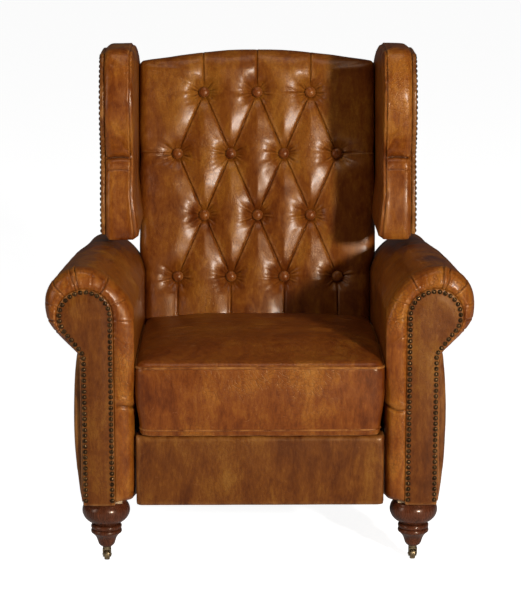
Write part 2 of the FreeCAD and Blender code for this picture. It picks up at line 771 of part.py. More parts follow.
def leg_bolts():
    """Hanger bolts that hold the four legs to the arm frames."""
    places = [(side * leg_x, y) for side in SIDES for y in (front_leg_y, rear_leg_y)]
    reach = (arm_bottom - leg_bolt_reach, arm_bottom + leg_bolt_reach)
    bolts = [cylinder_z("leg_bolt", dim("bolt_radius"), x, y, *reach) for x, y in places]
    keep(group("leg_bolts", bolts), "leg_bolts")


# ------------------------------------------------------------------ what joins the arms
def cross_rails():
    across = (-frame_inner, frame_inner)
    keep(box("front_cross_rail", across, front_cross_y, cross_rail_z), "front_cross_rail")
    keep(box("rear_cross_rail", across, rear_cross_y, cross_rail_z), "rear_cross_rail")
    cover_z = (arm_bottom, arm_bottom + dim("dust_cover"))
    keep(box("dust_cover", (-arm_inner + gap, arm_inner - gap), (front_cross_y[0], rear_cross_y[1]), cover_z),
         "dust_cover")


def screw_places():
    length = channel_y[1] - channel_y[0]
    return [channel_y[0] + length * share for share in (0.08, 0.5, 0.92)]


def glide_channel(side):
    """A steel C channel that the seat's shoes run in, on a wooden block let into the arm."""
    wall, depth = dim("channel_wall"), dim("channel_depth")
    low, high = channel_z
    outer = box("outer", on_side(side, arm_inner - depth, arm_inner), channel_y, channel_z)
    hollow_x = on_side(side, arm_inner - depth - 1, arm_inner - wall)
    hollow = box("hollow", hollow_x, (channel_y[0] - 1, channel_y[1] + 1), (low + wall, high - wall))
    reach = on_side(side, arm_inner - wall, frame_inner - 8)
    holes = [cylinder_x("hole", dim("screw_radius"), *reach, y, channel_middle) for y in screw_places()]
    channel = cut("channel", outer, fuse("channel_hollows", [hollow, *holes]))
    keep(channel, f"{SIDES[side]}_glide_channel")
    timber = box("timber", on_side(side, arm_inner, frame_inner - gap), channel_y, channel_z)
    more = [cylinder_x("hole", dim("screw_radius"), *reach, y, channel_middle) for y in screw_places()]
    block = cut("channel_block", timber, fuse("block_holes", more))
    screws = [cylinder_x("screw", dim("screw_radius"), *reach, y, channel_middle) for y in screw_places()]
    return block, screws


def glide_channels():
    left_block, left_screws = glide_channel(LEFT)
    right_block, right_screws = glide_channel(RIGHT)
    keep(group("channel_blocks", [left_block, right_block]), "channel_blocks")
    keep(group("channel_screws", left_screws + right_screws), "channel_screws")


leg_bolts()
cross_rails()
glide_channels()


# ------------------------------------------------------------------ footrest linkage
# Points of the linkage are (ahead, height): ahead of the cushion's front plane, above the floor.
def turned(degrees, vector):
    angle = math.radians(degrees)
    a, b = vector
    return (math.cos(angle) * a - math.sin(angle) * b, math.sin(angle) * a + math.cos(angle) * b)


def plus(p, q):
    return (p[0] + q[0], p[1] + q[1])


def minus(p, q):
    return (p[0] - q[0], p[1] - q[1])


def times(p, q):
    return p[0] * q[0] + p[1] * q[1]


def circle_centre(p, q, r):
    """The point equally far from three others."""
    across, up = minus(q, p), minus(r, p)
    scale = 2 * (across[0] * up[1] - across[1] * up[0])
    a2, b2 = times(across, across), times(up, up)
    return plus(p, ((up[1] * a2 - across[1] * b2) / scale, (across[0] * b2 - up[0] * a2) / scale))


front_pivot = (-dim("front_pivot_setback"), dim("front_pivot_height"))
ankle_rest = (-dim("ankle_setback"), dim("ankle_height"))
link_rest, link_turn = float(dim("front_link_rest")), float(dim("front_link_turn"))
carrier_turn, footrest_turn = float(dim("carrier_turn")), float(dim("footrest_turn"))


def on_front_link(distance, opened):
    return plus(front_pivot, turned(link_rest + link_turn * opened, (distance, 0)))


carrier = minus(ankle_rest, on_front_link(dim("front_link"), 0))
carrier_length = math.hypot(*carrier)
tail_share = dim("carrier_tail") / carrier_length
tail_vector = (-carrier[0] * tail_share, -carrier[1] * tail_share)


def linkage(opened):
    """Knee, tail and ankle of the carrier link, and the footrest's second pivot; opened runs from 0 to 1."""
    knee = on_front_link(dim("front_link"), opened)
    tail_point = plus(knee, turned(carrier_turn * opened, tail_vector))
    ankle = plus(knee, turned(carrier_turn * opened, carrier))
    second = plus(ankle, turned(footrest_turn * opened, (0, dim("bracket_arm"))))
    return knee, tail_point, ankle, second


knee, tail_point, ankle, second = linkage(0)
rear_pivot = circle_centre(tail_point, linkage(0.5)[1], linkage(1)[1])
# The steadying link starts where its length is the same folded and opened.
to_rest, to_open = minus(front_pivot, second), minus(front_pivot, linkage(1)[3])
rest_way, open_way = turned(link_rest, (1, 0)), turned(link_rest + link_turn, (1, 0))
steady_place = (times(to_open, to_open) - times(to_rest, to_rest)) / (
    2 * (times(rest_way, to_rest) - times(open_way, to_open)))
steady_pivot = on_front_link(steady_place, 0)

plane_pitch = dim("link_thickness") + dim("link_gap")
seat_plate_x = (dim("link_plane") - dim("link_thickness"), dim("link_plane"))


def plane(number):
    """X range of a link plane: 0 is the seat plate, higher numbers lie nearer the middle."""
    outer = dim("link_plane") - plane_pitch * number
    return outer - dim("link_thickness"), outer


def disc(point, radius, low, high):
    """A round solid along X at a linkage point."""
    ahead, height = point
    return Part.makeCylinder(radius, high - low, Vector(low, front - ahead, height), Vector(1, 0, 0))


def bar(start, end, low, high):
    """A flat link with round ends between two linkage points."""
    half = dim("link_width") / 2
    way = minus(end, start)
    length = math.hypot(*way)
    side_way = (-way[1] / length * half, way[0] / length * half)
    corners = [plus(start, side_way), plus(end, side_way), minus(end, side_way), minus(start, side_way)]
    points = [Vector(low, front - a, b) for a, b in corners]
    middle = Part.Face(Part.makePolygon(points + points[:1])).extrude(Vector(high - low, 0, 0))
    return middle.fuse([disc(start, half, low, high), disc(end, half, low, high)]).removeSplitter()


pin = dim("pin_radius")
pin_bore = pin + dim("pin_clearance")


def bored(shape, *points):
    for point in points:
        shape = shape.cut(disc(point, pin_bore, 0, dim("link_plane")))
    return shape


def studs(shape, low, high, *points):
    for point in points:
        shape = shape.fuse(disc(point, pin, low, high))
    return shape.removeSplitter()


def links():
    """Four links on each side, each kind with its mirror image."""
    head = dim("link_gap") * 0.4
    rear_link = bored(bar(rear_pivot, tail_point, *plane(1)), rear_pivot)
    rear_link = studs(rear_link, plane(4)[1] + dim("open_gap"), plane(1)[1], tail_point)
    feature("rear_links", both_sides(rear_link))
    front_link = bored(bar(front_pivot, knee, *plane(2)), front_pivot)
    front_link = studs(front_link, plane(4)[0] - head, plane(2)[1], knee)
    front_link = studs(front_link, plane(3)[0] - head, plane(2)[1], steady_pivot)
    feature("front_links", both_sides(front_link))
    steady_link = bored(bar(steady_pivot, second, *plane(3)), steady_pivot)
    steady_link = studs(steady_link, plane(5)[1] + dim("open_gap"), plane(3)[1], second)
    feature("steady_links", both_sides(steady_link))
    carrier_link = bored(bar(tail_point, ankle, *plane(4)), knee, ankle)
    feature("carrier_links", both_sides(carrier_link))


def torque_tube():
    """Joins the two front links so that both sides open together."""
    ahead, height = on_front_link(dim("tube_place"), 0)
    reach = plane(2)[0]
    tube = cylinder_x("tube", dim("tube_radius"), -reach, reach, front - ahead, height)
    bore = cylinder_x("tube_bore", dim("tube_radius") - 1.5, -reach - 1, reach + 1, front - ahead, height)
    keep(cut("torque_tube", tube, bore), "torque_tube")


# ------------------------------------------------------------------ footrest
footrest_top = dim("cushion_bottom") - dim("footrest_gap")
footrest_face = front + dim("footrest_setback")
board_front = footrest_face + dim("footrest_padding")
board_y = (board_front, board_front + dim("footrest_board"))
board_z = (dim("footrest_bottom") + 6, footrest_top - 6)


def footrest():
    half = dim("footrest_width") / 2
    board_x = (-half + 6, half - 6)
    keep(box("footrest_board", board_x, board_y, board_z), "footrest_board")
    outer = box("footrest_outer", (-half, half), (footrest_face, board_y[1]), (dim("footrest_bottom"), footrest_top))
    doc.recompute()
    rounded = outer.Shape.makeFillet(10, [e for e in outer.Shape.Edges if e.BoundBox.YMax < footrest_face + 1])
    hollow = room(board_x, board_y, board_z)
    doc.removeObject(outer.Name)
    feature("footrest_pad", rounded.cut(hollow))


def footrest_brackets():
    """Plates with a screwed foot behind the board, carrying the footrest's two pivots."""
    low, high = plane(5)
    thickness = dim("link_thickness")
    back_y = board_y[1]
    half = dim("link_width") / 2
    foot = room((low - 26, low + thickness), (back_y, back_y + thickness), (ankle[1] - 14, second[1] + 14))
    web = room((low, high), (back_y, front + dim("ankle_setback")), (ankle[1] - half, second[1] + half))
    shape = foot.fuse([web, bar(ankle, second, low, high)]).removeSplitter()
    shape = studs(shape, high - 1, plane(4)[1] + dim("link_gap") * 0.4, ankle)
    feature("footrest_brackets", both_sides(shape))


links()
footrest_brackets()
torque_tube()
footrest()


# ------------------------------------------------------------------ seat
rail_top = dim("cushion_bottom") - dim("deck_thickness")
rail_z = (rail_top - dim("seat_rail_height"), rail_top)
rail = dim("seat_rail_thickness")
seat_front_y = (front + dim("seat_frame_front"), front + dim("seat_frame_front") + rail)
seat_rear_end = back_face_y(dim("cushion_bottom")) - 2 * dim("cushion_round") * 0.5
seat_rear_y = (seat_rear_end - rail, seat_rear_end)
side_rail_x = (dim("link_plane"), dim("link_plane") + rail)
shoe_places = (channel_y[0] + dim("glide_travel") + 28, channel_y[1] - 42)
shoe_x = (arm_inner - dim("channel_depth") + 0.6, arm_inner - dim("channel_wall") - 0.1)


def seat_frame():
    inner = dim("link_plane") - dim("link_thickness")
    side_rails = [box("side_rail", on_side(side, *side_rail_x), (seat_front_y[0], seat_rear_y[1]), rail_z)
                  for side in SIDES]
    depth = (side_rail_x[0] + 6, side_rail_x[1] + 1)
    bores = [cylinder_x("bore", dim("bolt_radius"), *on_side(side, *depth), y, channel_middle)
             for side in SIDES for y in shoe_places]
    keep(cut("seat_side_rails", group("side_rails", side_rails), group("shoe_bores", bores)), "seat_side_rails")
    keep(box("seat_front_rail", (-inner, inner), seat_front_y, rail_z), "seat_front_rail")
    keep(box("seat_rear_rail", (-inner, inner), seat_rear_y, rail_z), "seat_rear_rail")


def seat_plate(side):
    """Steel side plate: carries the links' studs in front and the back's pivot behind."""
    low, high = seat_plate_x
    base = rail_z[0] + 2
    lug = dim("link_width")
    drop = min(front_pivot[1], rear_pivot[1]) - lug
    first, last = front - front_pivot[0] - lug, front - rear_pivot[0] + lug
    points = [(seat_front_y[0] + 4, base), (first, drop), (last, drop), (last + lug, base),
              (pivot_y, pivot_z - dim("pivot_lug")), (pivot_y, pivot_z + dim("pivot_lug") - 1),
              (seat_rear_y[1], rail_top - 6), (seat_front_y[0] + 4, rail_top - 6)]
    corners = [Vector(low, y, z) for y, z in points]
    shape = Part.Face(Part.makePolygon(corners + corners[:1])).extrude(Vector(high - low, 0, 0))
    lug = Part.makeCylinder(dim("pivot_lug"), high - low, Vector(low, pivot_y, pivot_z), Vector(1, 0, 0))
    shape = shape.fuse(lug)
    shape = studs(shape, plane(1)[0] - dim("link_gap") * 0.4, low + 1, rear_pivot)
    shape = studs(shape, plane(2)[0] - dim("link_gap") * 0.4, low + 1, front_pivot)
    shape = shape.cut(Part.makeCylinder(dim("pivot_radius"), 3 * (high - low), Vector(low - 4, pivot_y, pivot_z),
                                        Vector(1, 0, 0)))
    feature(f"{SIDES[side]}_seat_plate", mirrored(shape, side))


def glide_shoes():
    """Nylon shoes in the channels and the bolts that carry them."""
    height = channel_z[1] - channel_z[0] - 2 * dim("channel_wall") - 0.1
    half = dim("shoe_length") / 2
    shoes = []
    bolts = []
    for side, y in [(side, y) for side in SIDES for y in shoe_places]:
        up = (channel_middle - height / 2, channel_middle + height / 2)
        block = box("block", on_side(side, *shoe_x), (y - half, y + half), up)
        reach = on_side(side, shoe_x[0] - 1, shoe_x[1] + 1)
        shoes.append(cut("shoe", block, cylinder_x("bore", dim("bolt_radius"), *reach, y, channel_middle)))
        shank_x = on_side(side, side_rail_x[0] + 6, shoe_x[1])
        collar_x = on_side(side, side_rail_x[1], shoe_x[0])
        shank = cylinder_x("shank", dim("bolt_radius"), *shank_x, y, channel_middle)
        collar = cylinder_x("collar", dim("bolt_radius") + 3, *collar_x, y, channel_middle)
        bolts.append(fuse("bolt", [shank, collar]))
    keep(group("glide_shoes", shoes), "glide_shoes")
    keep(group("glide_bolts", bolts), "glide_bolts")


spring_radius = dim("spring_wire") / 2
spring_z = rail_top - spring_radius - gap
spring_pitch = 2 * dim("link_plane") / dim("spring_count")
spring_x = [spring_pitch * (i - (dim("spring_count") - 1) / 2) for i in range(round(float(dim("spring_count"))))]
clip_depth = 5


def spring(x):
    """A zigzag of straight runs and half circles, from clip to clip."""
    start, end = seat_front_y[1] + clip_depth, seat_rear_y[0] - clip_depth
    lead = 12
    count = round(float((end - start - 2 * lead) / dim("spring_bend"))) - 1
    bend = (end - start - 2 * lead) / (count + 1) / 2
    half = dim("spring_width") / 2 - bend
    corner = bend * (1 - math.sqrt(0.5))
    y = start + lead + bend
    here = Vector(x + bend, y, spring_z)
    edges = [
        Part.makeLine(Vector(x, start, spring_z), Vector(x, start + lead, spring_z)),
        Part.Arc(Vector(x, start + lead, spring_z), Vector(x + corner, y - corner, spring_z), here).toShape(),
    ]
    way = 1
    for turn in range(count):
        run_end = Vector(x + way * half, y, spring_z)
        if turn > 0 and way * (run_end.x - here.x) > gap:
            edges.append(Part.makeLine(here, run_end))
            here = run_end
        y += 2 * bend
        after = Vector(here.x, y, spring_z)
        edges.append(Part.Arc(here, Vector(here.x + way * bend, y - bend, spring_z), after).toShape())
        here = after
        way = -way
    before = Vector(x - way * bend, y, spring_z)
    if way * (before.x - here.x) > gap:
        edges.append(Part.makeLine(here, before))
        here = before
    final = Vector(x, y + bend, spring_z)
    turn_in = Vector(x - way * corner, y + corner, spring_z)
    edges.append(Part.Arc(here, turn_in, final).toShape())
    edges.append(Part.makeLine(final, Vector(x, end, spring_z)))
    ring = Part.Wire([Part.Circle(Vector(x, start, spring_z), Vector(0, 1, 0), spring_radius).toShape()])
    return Part.Wire(edges).makePipeShell([ring], True, False)


def seat_springs():
    feature("seat_springs", Part.makeCompound([spring(x) for x in spring_x]))
    seats = ((seat_front_y[1], seat_front_y[1] + clip_depth), (seat_rear_y[0] - clip_depth, seat_rear_y[0]))
    clips = [box("clip", (x - 7, x + 7), along, (spring_z - 6, spring_z + spring_radius))
             for x in spring_x for along in seats]
    keep(group("spring_clips", clips), "spring_clips")
    keep(box("seat_deck", (-side_rail_x[1], side_rail_x[1]), (seat_front_y[0], seat_rear_y[1]),
             (rail_top, dim("cushion_bottom"))), "seat_deck")


def cushion_solid(inset):
    """The boxed cushion, its rear following the leaning back."""
    bottom, top = dim("cushion_bottom") + inset, dim("cushion_front_top") - inset
    rear_top = dim("cushion_rear_top") - inset
    clear = 4 + inset
    near, far_low, far_high = front + inset, back_face_y(bottom) - clear, back_face_y(rear_top) - clear
    half = dim("cushion_width") / 2 - inset
    face = Part.Face(wire([
        ((-half, near, bottom),),
        ((-half, far_low, bottom),),
        ((-half, far_high, rear_top),),
        ((-half, near, top), (-half, (near + far_high) / 2, (top + rear_top) / 2 + 10)),
    ]))
    solid = face.extrude(Vector(2 * half, 0, 0))
    middle = (bottom + top) / 2
    upper = [e for e in solid.Edges if e.BoundBox.ZMin > middle or abs(e.BoundBox.ZLength) > 60]
    return solid.makeFillet(dim("cushion_round") - inset, upper)


def seat_cushion():
    foam = cushion_solid(dim("cover_thickness"))
    cover = cushion_solid(0).cut(foam)
    feature("seat_cushion_cover", cover)
    feature("seat_cushion_foam", foam)


seat_frame()
for side in SIDES:
    seat_plate(side)
glide_shoes()
seat_springs()
seat_cushion()


# ------------------------------------------------------------------ back
# Local frame of the back: y is minus "ahead", z is "along"; lean() puts it in place.
rise = dim("back_rise")
shoulder = rise - dim("back_shoulder")
back_foot = dim("back_foot")
upright_x = (plane(1)[0] - dim("upright_width"), plane(1)[0])
bottom_rail_low = back_foot + dim("bottom_rail_rise")
bottom_rail = (bottom_rail_low, bottom_rail_low + dim("bottom_rail_width"))
wing_y = front + dim("wing_reach")
# The roll has fallen by a quarter of its drop where the wing's front passes over it.
wing_bottom = dim("arm_height") - dim("roll_fall") / 4 + dim("wing_clearance")
wing_x = (dim("wing_inner") / 2, dim("wing_inner") / 2 + dim("wing_thickness"))
board_x_low = wing_x[0] + dim("wing_thickness") * 0.58
mid_rail = (dim("mid_rail_rise"), dim("mid_rail_rise") + dim("mid_rail_width"))
top_rail_high = shoulder - dim("top_rail_drop")
top_rail = (top_rail_high - dim("top_rail_width"), top_rail_high)


def back_piece(name, across, ahead, along):
    return box(name, across, (-ahead[1], -ahead[0]), along)


def back_frame():
    depth = (frame_rear, padding_rear)
    height = (back_foot + 4, top_rail[1])
    uprights = [back_piece("upright", on_side(side, *upright_x), depth, height) for side in SIDES]
    rails = [back_piece("rail", (-upright_x[1], upright_x[1]), depth, bottom_rail)]
    rails += [back_piece("rail", (-board_x_low, board_x_low), depth, along) for along in (mid_rail, top_rail)]
    keep(lean(fuse("back_frame", uprights + rails)), "back_frame")


def back_webbing():
    """Straps across the frame's two openings."""
    reach, half = upright_x[0], dim("webbing_width") / 2
    across = []
    for low, high in ((bottom_rail[1], mid_rail[0]), (mid_rail[1], top_rail[0])):
        count = max(1, int((high - low) // 95))
        pitch = (high - low) / count
        across += [back_piece("strap", (-reach, reach), (padding_rear - 3, padding_rear - 1),
                              (low + pitch * (i + 0.5) - half, low + pitch * (i + 0.5) + half))
                   for i in range(count)]
    spans = ((bottom_rail[1], mid_rail[0]), (mid_rail[1], top_rail[0]))
    upward = [back_piece("strap", (x - half, x + half), (padding_rear - 5, padding_rear - 3), span)
              for x in (-reach * 0.6, 0, reach * 0.6) for span in spans]
    keep(lean(group("back_webbing", across + upward)), "back_webbing")


def button_places():
    pitch = dim("button_pitch")
    places = []
    for row in range(4):
        wide = row % 2 == 0
        along = dim("button_first_row") + row * dim("button_row_pitch")
        count = 4 if wide else 3
        places += [((i - (count - 1) / 2) * pitch, along) for i in range(count)]
    return places


def back_cushion():
    """The buttoned padding, with a pocket at each button."""
    half = dim("back_width") / 2
    y = -padding_front
    face = Part.Face(wire([
        ((-half, y, back_foot),),
        ((half, y, back_foot),),
        ((half, y, shoulder),),
        ((-half, y, shoulder), (0, y, rise)),
    ]))
    solid = face.extrude(Vector(0, dim("back_padding"), 0))
    solid = solid.makeFillet(24, [e for e in solid.Edges if e.BoundBox.YMax < y + 1])
    depth, radius = dim("button_depth"), dim("button_radius")
    for x, along in button_places():
        pocket = Part.makeCone(radius + 18, radius + 1.5, depth, Vector(x, y, along), Vector(0, 1, 0))
        solid = solid.cut(pocket)
    lean(feature("back_cushion", solid))


def back_buttons():
    radius, depth = dim("button_radius"), dim("button_depth")
    shapes = []
    dome = 4
    sphere = (radius**2 + dome**2) / (2 * dome)
    half_dome = math.sqrt(sphere**2 - radius**2 / 4) - sphere + dome
    profile = Part.Wire([
        Part.makeLine(Vector(0, 0, 0), Vector(radius, 0, 0)),
        Part.makeLine(Vector(radius, 0, 0), Vector(radius, 0, 5)),
        Part.Arc(Vector(radius, 0, 5), Vector(radius / 2, 0, 5 + half_dome),
                 Vector(0, 0, 5 + dome)).toShape(),
        Part.makeLine(Vector(0, 0, 5 + dome), Vector(0, 0, 0)),
    ])
    for x, along in button_places():
        button = Part.Face(profile).revolve(Vector(), Vector(0, 0, 1), 360)
        seat = Vector(x, -padding_front + depth, along)
        button.Placement = Placement(seat, Rotation(Vector(0, 0, 1), FORWARD))
        shapes.append(button)
    lean(feature("back_buttons", Part.makeCompound(shapes)))


def outside_back():
    """The leather-covered board behind, wider where it meets the wings."""
    narrow, wide = dim("back_width") / 2, wing_x[1] + dim("wing_panel")
    ledge = (wing_bottom - pivot_z - panel_rear * lean_sin) / lean_cos + 2
    y = -frame_rear
    face = Part.Face(wire([
        ((-narrow, y, back_foot),),
        ((narrow, y, back_foot),),
        ((narrow, y, ledge),),
        ((wide, y, ledge),),
        ((wide, y, shoulder),),
        ((-wide, y, shoulder), (0, y, rise)),
        ((-wide, y, ledge),),
        ((-narrow, y, ledge),),
    ]))
    lean(feature("outside_back_panel", face.extrude(Vector(0, dim("panel_thickness"), 0))))


def wing_outline(x, inset):
    """Side view of a wing: a lower sweep, a crease, an upper lobe, and the back's slope behind."""
    crease_y, crease_z = wing_y + dim("wing_lobe") + 8, wing_bottom + dim("wing_sweep")
    top = dim("overall_height") - inset
    near = wing_y + inset
    lobe = crease_y - dim("wing_lobe") + inset
    rear_top = leaned(frame_rear, shoulder)
    rear_low_y = rear_top[0] - (rear_top[1] - wing_bottom) * lean_sin / lean_cos
    return [
        ((x, near, wing_bottom + inset),),
        ((x, crease_y + inset, crease_z), (x, near + 4, (wing_bottom + crease_z) / 2)),
        ((x, crease_y + 4 + inset, top - 24), (x, lobe, (crease_z + top) / 2 - 10)),
        ((x, crease_y + 44 + inset, top), (x, crease_y + 15 + inset, top - 7)),
        ((x, rear_top[0] - gap - inset, rear_top[1] - inset * 0.3),
         (x, (crease_y + rear_top[0]) / 2 + 30, top - 14)),
        ((x, rear_low_y - gap - inset, wing_bottom + inset),),
    ]


def wing_board():
    return Part.Face(wire(wing_outline(board_x_low, 30))).extrude(Vector(dim("wing_board"), 0, 0))


def wing(side):
    """Padding over a wooden board, and the outer leather panel."""
    name = SIDES[side]
    board_shape = wing_board()
    stations = ((wing_x[0], 8), (wing_x[0] + 12, 0), (wing_x[1] - 9, 0), (wing_x[1], 6))
    solid = Part.makeLoft([wire(wing_outline(x, inset)) for x, inset in stations], True, True).cut(board_shape)
    for along in (mid_rail, top_rail):
        slot = lean(room((0, board_x_low), (-padding_rear, -frame_rear), along))
        solid = solid.cut(slot)
    feature(f"{name}_wing_pad", mirrored(solid, side))
    panel_x = (wing_x[1], wing_x[1] + dim("wing_panel"))
    panel = Part.Face(wire(wing_outline(panel_x[0], 9))).extrude(Vector(panel_x[1] - panel_x[0], 0, 0))
    panel = panel.cut(shanks(wing_nail_places(), OUTWARD))
    feature(f"{name}_wing_outer_panel", mirrored(panel, side))


def wing_nail_places():
    outline = wire(wing_outline(wing_x[1] + dim("wing_panel"), 12 + dim("nail_inset")))
    return along_wire(Part.Wire(outline.OrderedEdges[1:4]), dim("nail_pitch"))


def wing_nails():
    """A row down the front edge of each outer panel."""
    feature("wing_nails", both_sides(Part.makeCompound([nail(p, OUTWARD) for p in wing_nail_places()])))


def back_brackets():
    """Steel strap from the pivot up the frame's side."""
    low, high = plane(1)
    strap = Part.makeBox(high - low, dim("bracket_width"), dim("bracket_length"), Vector(low, 2 - padding_rear, 0))
    lug = Part.makeCylinder(dim("pivot_lug"), high - low, Vector(low, 0, 0), Vector(1, 0, 0))
    strap = strap.fuse(lug).removeSplitter()
    bore = Part.makeCylinder(dim("pivot_radius") + dim("pin_clearance"), 20, Vector(low - 5, 0, 0), Vector(1, 0, 0))
    lean(feature("back_brackets", both_sides(strap.cut(bore))))


def pivot_bolts():
    """Shouldered bolts through the seat plates, on which the back turns."""
    bolts = []
    for side in SIDES:
        low = plane(1)[0] - 1
        shank = cylinder_x("shank", dim("pivot_radius"), *on_side(side, low, seat_plate_x[1]), pivot_y, pivot_z)
        head_x = on_side(side, seat_plate_x[1], seat_plate_x[1] + 5)
        head = cylinder_x("head", dim("pivot_radius") + 5, *head_x, pivot_y, pivot_z)
        nut = cylinder_x("nut", dim("pivot_radius") + 4, *on_side(side, low - 6, low), pivot_y, pivot_z)
        bolts.append(fuse("pivot_bolt", [shank, head, nut]))
    keep(group("back_pivot_bolts", bolts), "back_pivot_bolts")


back_frame()
back_webbing()
back_cushion()
back_buttons()
outside_back()
feature("wing_boards", both_sides(wing_board()))
for side in SIDES:
    wing(side)
wing_nails()
back_brackets()
pivot_bolts()


# ------------------------------------------------------------------ checks and files
doc.recompute()
for made in doc.Objects:
    if "Invalid" in made.State or "Error" in made.State:
        raise RuntimeError(f"{made.Label} failed: {made.State}")
os.makedirs("parts", exist_ok=True)
for made in finished:
    shape = made.Shape
    if shape.isNull() or not shape.isValid() or not shape.Solids:
        raise RuntimeError(f"{made.Label} is not a valid solid")
    shape.exportStep(f"parts/{made.Label}.step")
print(len(finished), "sub-parts")
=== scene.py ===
"""Push-back wing recliner in aged tan leather: covers, finishes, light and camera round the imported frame."""

import math

import bmesh
import bpy
import numpy as np
from mathutils import Matrix, Vector, kdtree, noise
from mathutils.bvhtree import BVHTree


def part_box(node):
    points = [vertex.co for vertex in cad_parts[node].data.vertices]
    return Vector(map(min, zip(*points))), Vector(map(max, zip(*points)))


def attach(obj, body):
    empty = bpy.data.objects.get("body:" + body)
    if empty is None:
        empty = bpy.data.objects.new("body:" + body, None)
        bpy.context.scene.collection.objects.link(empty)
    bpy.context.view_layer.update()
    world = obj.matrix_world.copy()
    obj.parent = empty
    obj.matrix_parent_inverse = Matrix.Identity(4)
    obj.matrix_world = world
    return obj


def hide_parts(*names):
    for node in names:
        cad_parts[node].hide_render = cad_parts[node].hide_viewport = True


MM = 0.001

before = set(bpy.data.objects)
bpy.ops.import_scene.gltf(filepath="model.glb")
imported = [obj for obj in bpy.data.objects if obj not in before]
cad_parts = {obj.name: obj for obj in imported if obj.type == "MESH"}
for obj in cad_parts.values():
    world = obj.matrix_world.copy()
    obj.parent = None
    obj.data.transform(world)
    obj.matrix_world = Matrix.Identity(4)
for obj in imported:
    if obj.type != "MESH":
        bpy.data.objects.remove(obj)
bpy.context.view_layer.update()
scene = bpy.context.scene

# ------------ sizes read from the frame
hinge_low, hinge_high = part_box("back_pivot_bolts")
HINGE_Y = (hinge_low.y + hinge_high.y) / 2
HINGE_Z = (hinge_low.z + hinge_high.z) / 2
cushion_low, cushion_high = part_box("seat_cushion_cover")
arm_low, arm_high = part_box("left_arm_pad")
wing_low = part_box("left_wing_pad")[0]
footrest_low, footrest_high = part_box("footrest_pad")
ARM_FRONT = arm_low.y
ARM_TOP = arm_high.z

# ------------ sizes of the upholstery
VOXEL = 6 * MM
FINE_VOXEL = 4 * MM
FACING_VOXEL = 3 * MM
FILLING_STEPS = 20
CUSHION_HALF = 246 * MM  # half the width of the frame's back and seat cushions

LEAN = math.radians(13)
BUTTON_ROW = 140 * MM
BUTTON_PITCH = 121 * MM
BUTTON_RADIUS = 12.2 * MM
BUTTON_SINK = 9 * MM
BUTTON_PIT = 34 * MM
FOLD_FOOT = 20 * MM  # where the upright folds end below, along the back from its hinge
FOLD_SIDE = 262 * MM  # where the level folds end, from the middle
SIDE_SWELL = 10 * MM
WING_SWELL = 10.5 * MM
LIP, FAR_LIP = 1.5 * MM, 0.2 * MM  # how far the two sides of a fold stand over it

ARM_INNER = 256.6 * MM  # the arms' inner faces, clear of the seat
ARM_FLANK = 270 * MM  # inside of this the arm's cover is held
ARM_FOOT = 135 * MM
ARM_REAR = 230 * MM
PLUMP_FROM = 0.33
BORDER_OUT = 0.335
SCROLL_NAILS = 0.50  # the nails above this height go round the scroll
PLEATS_FROM = 30 * MM
ARM_CREASE = 0.342
ARM_PUCKERS = 0.385

WING_INSIDE = 257 * MM  # the inside of the frame's wing
WING_BOARD = 322 * MM
WING_FOOT = 640 * MM
WING_REAR = 120 * MM
WING_MIDDLE = 302 * MM
WING_INNER = 0.267  # the made cover's inside
WING_SEAM = 9 * MM
WING_FOLD = wing_low.z + 0.176

SEAT_HALF = 255.4 * MM
SEAT_FLANK = 236 * MM
SEAT_SWELL, FOOT_LOSS = 9.5 * MM, 8.5 * MM  # at the cushion's sides, and lost again towards its foot
SEAT_CORNER = 24 * MM
TOP_WELT = 5.2 * MM
LOW_SEAM = 3.4 * MM
FOOTREST_SWELL = 1.5 * MM


# ------------ small tools
def smooth_step(value):
    """0 below 0, 1 above 1, and an even curve between."""
    value = np.clip(value, 0, 1)
    return value * value * (3 - 2 * value)


def rise(value, start, run):
    """0 up to the start, 1 from a run further on."""
    return smooth_step((value - start) / run)


def hump(value, width):
    """A bell that is 1 at 0 and dies away over the width."""
    return np.exp(-((value / width) ** 2))


def deselect_all():
    bpy.ops.object.select_all(action="DESELECT")


def add_object(name, data):
    made = bpy.data.objects.new(name, data)
    scene.collection.objects.link(made)
    return made


def pick(piece):
    """Makes one piece the only thing the next operator acts on."""
    deselect_all()
    piece.select_set(True)
    bpy.context.view_layer.objects.active = piece


def points_of(piece):
    found = np.empty(len(piece.data.vertices) * 3)
    piece.data.vertices.foreach_get("co", found)
    return found.reshape(-1, 3)


def normals_of(piece):
    found = np.empty(len(piece.data.vertices) * 3, np.float32)
    piece.data.vertex_normals.foreach_get("vector", found)
    return found.reshape(-1, 3).astype(float)


def set_points(piece, places):
    piece.data.vertices.foreach_set("co", places.astype(np.float32).ravel())
    piece.data.update()


def wander(places, scale, seed):
    """Soft random heights from -1 to 1 over a set of points."""
    shift = Vector((seed * 7.3, seed * 3.1, seed * 5.7))
    return np.array([noise.noise(Vector(p) * scale + shift) for p in places])


def shells_of(mesh):
    """The separate closed shells of a merged mesh, each as a list of its corners."""
    seen, shells = set(), []
    for start in mesh.verts:
        if start in seen:
            continue
        seen.add(start)
        waiting, members = [start], []
        while waiting:
            corner = waiting.pop()
            members.append(corner)
            for edge in corner.link_edges:
                other = edge.other_vert(corner)
                if other not in seen:
                    seen.add(other)
                    waiting.append(other)
        shells.append(members)
    return shells


def box_of(corners):
    places = [corner.co for corner in corners]
    return Vector(map(min, *places)), Vector(map(max, *places))


def solid_middles(node):
    """The middle of each separate solid of a CAD node."""
    shell = bmesh.new()
    shell.from_mesh(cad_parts[node].data)
    bmesh.ops.remove_doubles(shell, verts=shell.verts, dist=1e-6)
    middles = []
    for corners in shells_of(shell):
        low, high = box_of(corners)
        middles.append((low + high) / 2)
    shell.free()
    return middles


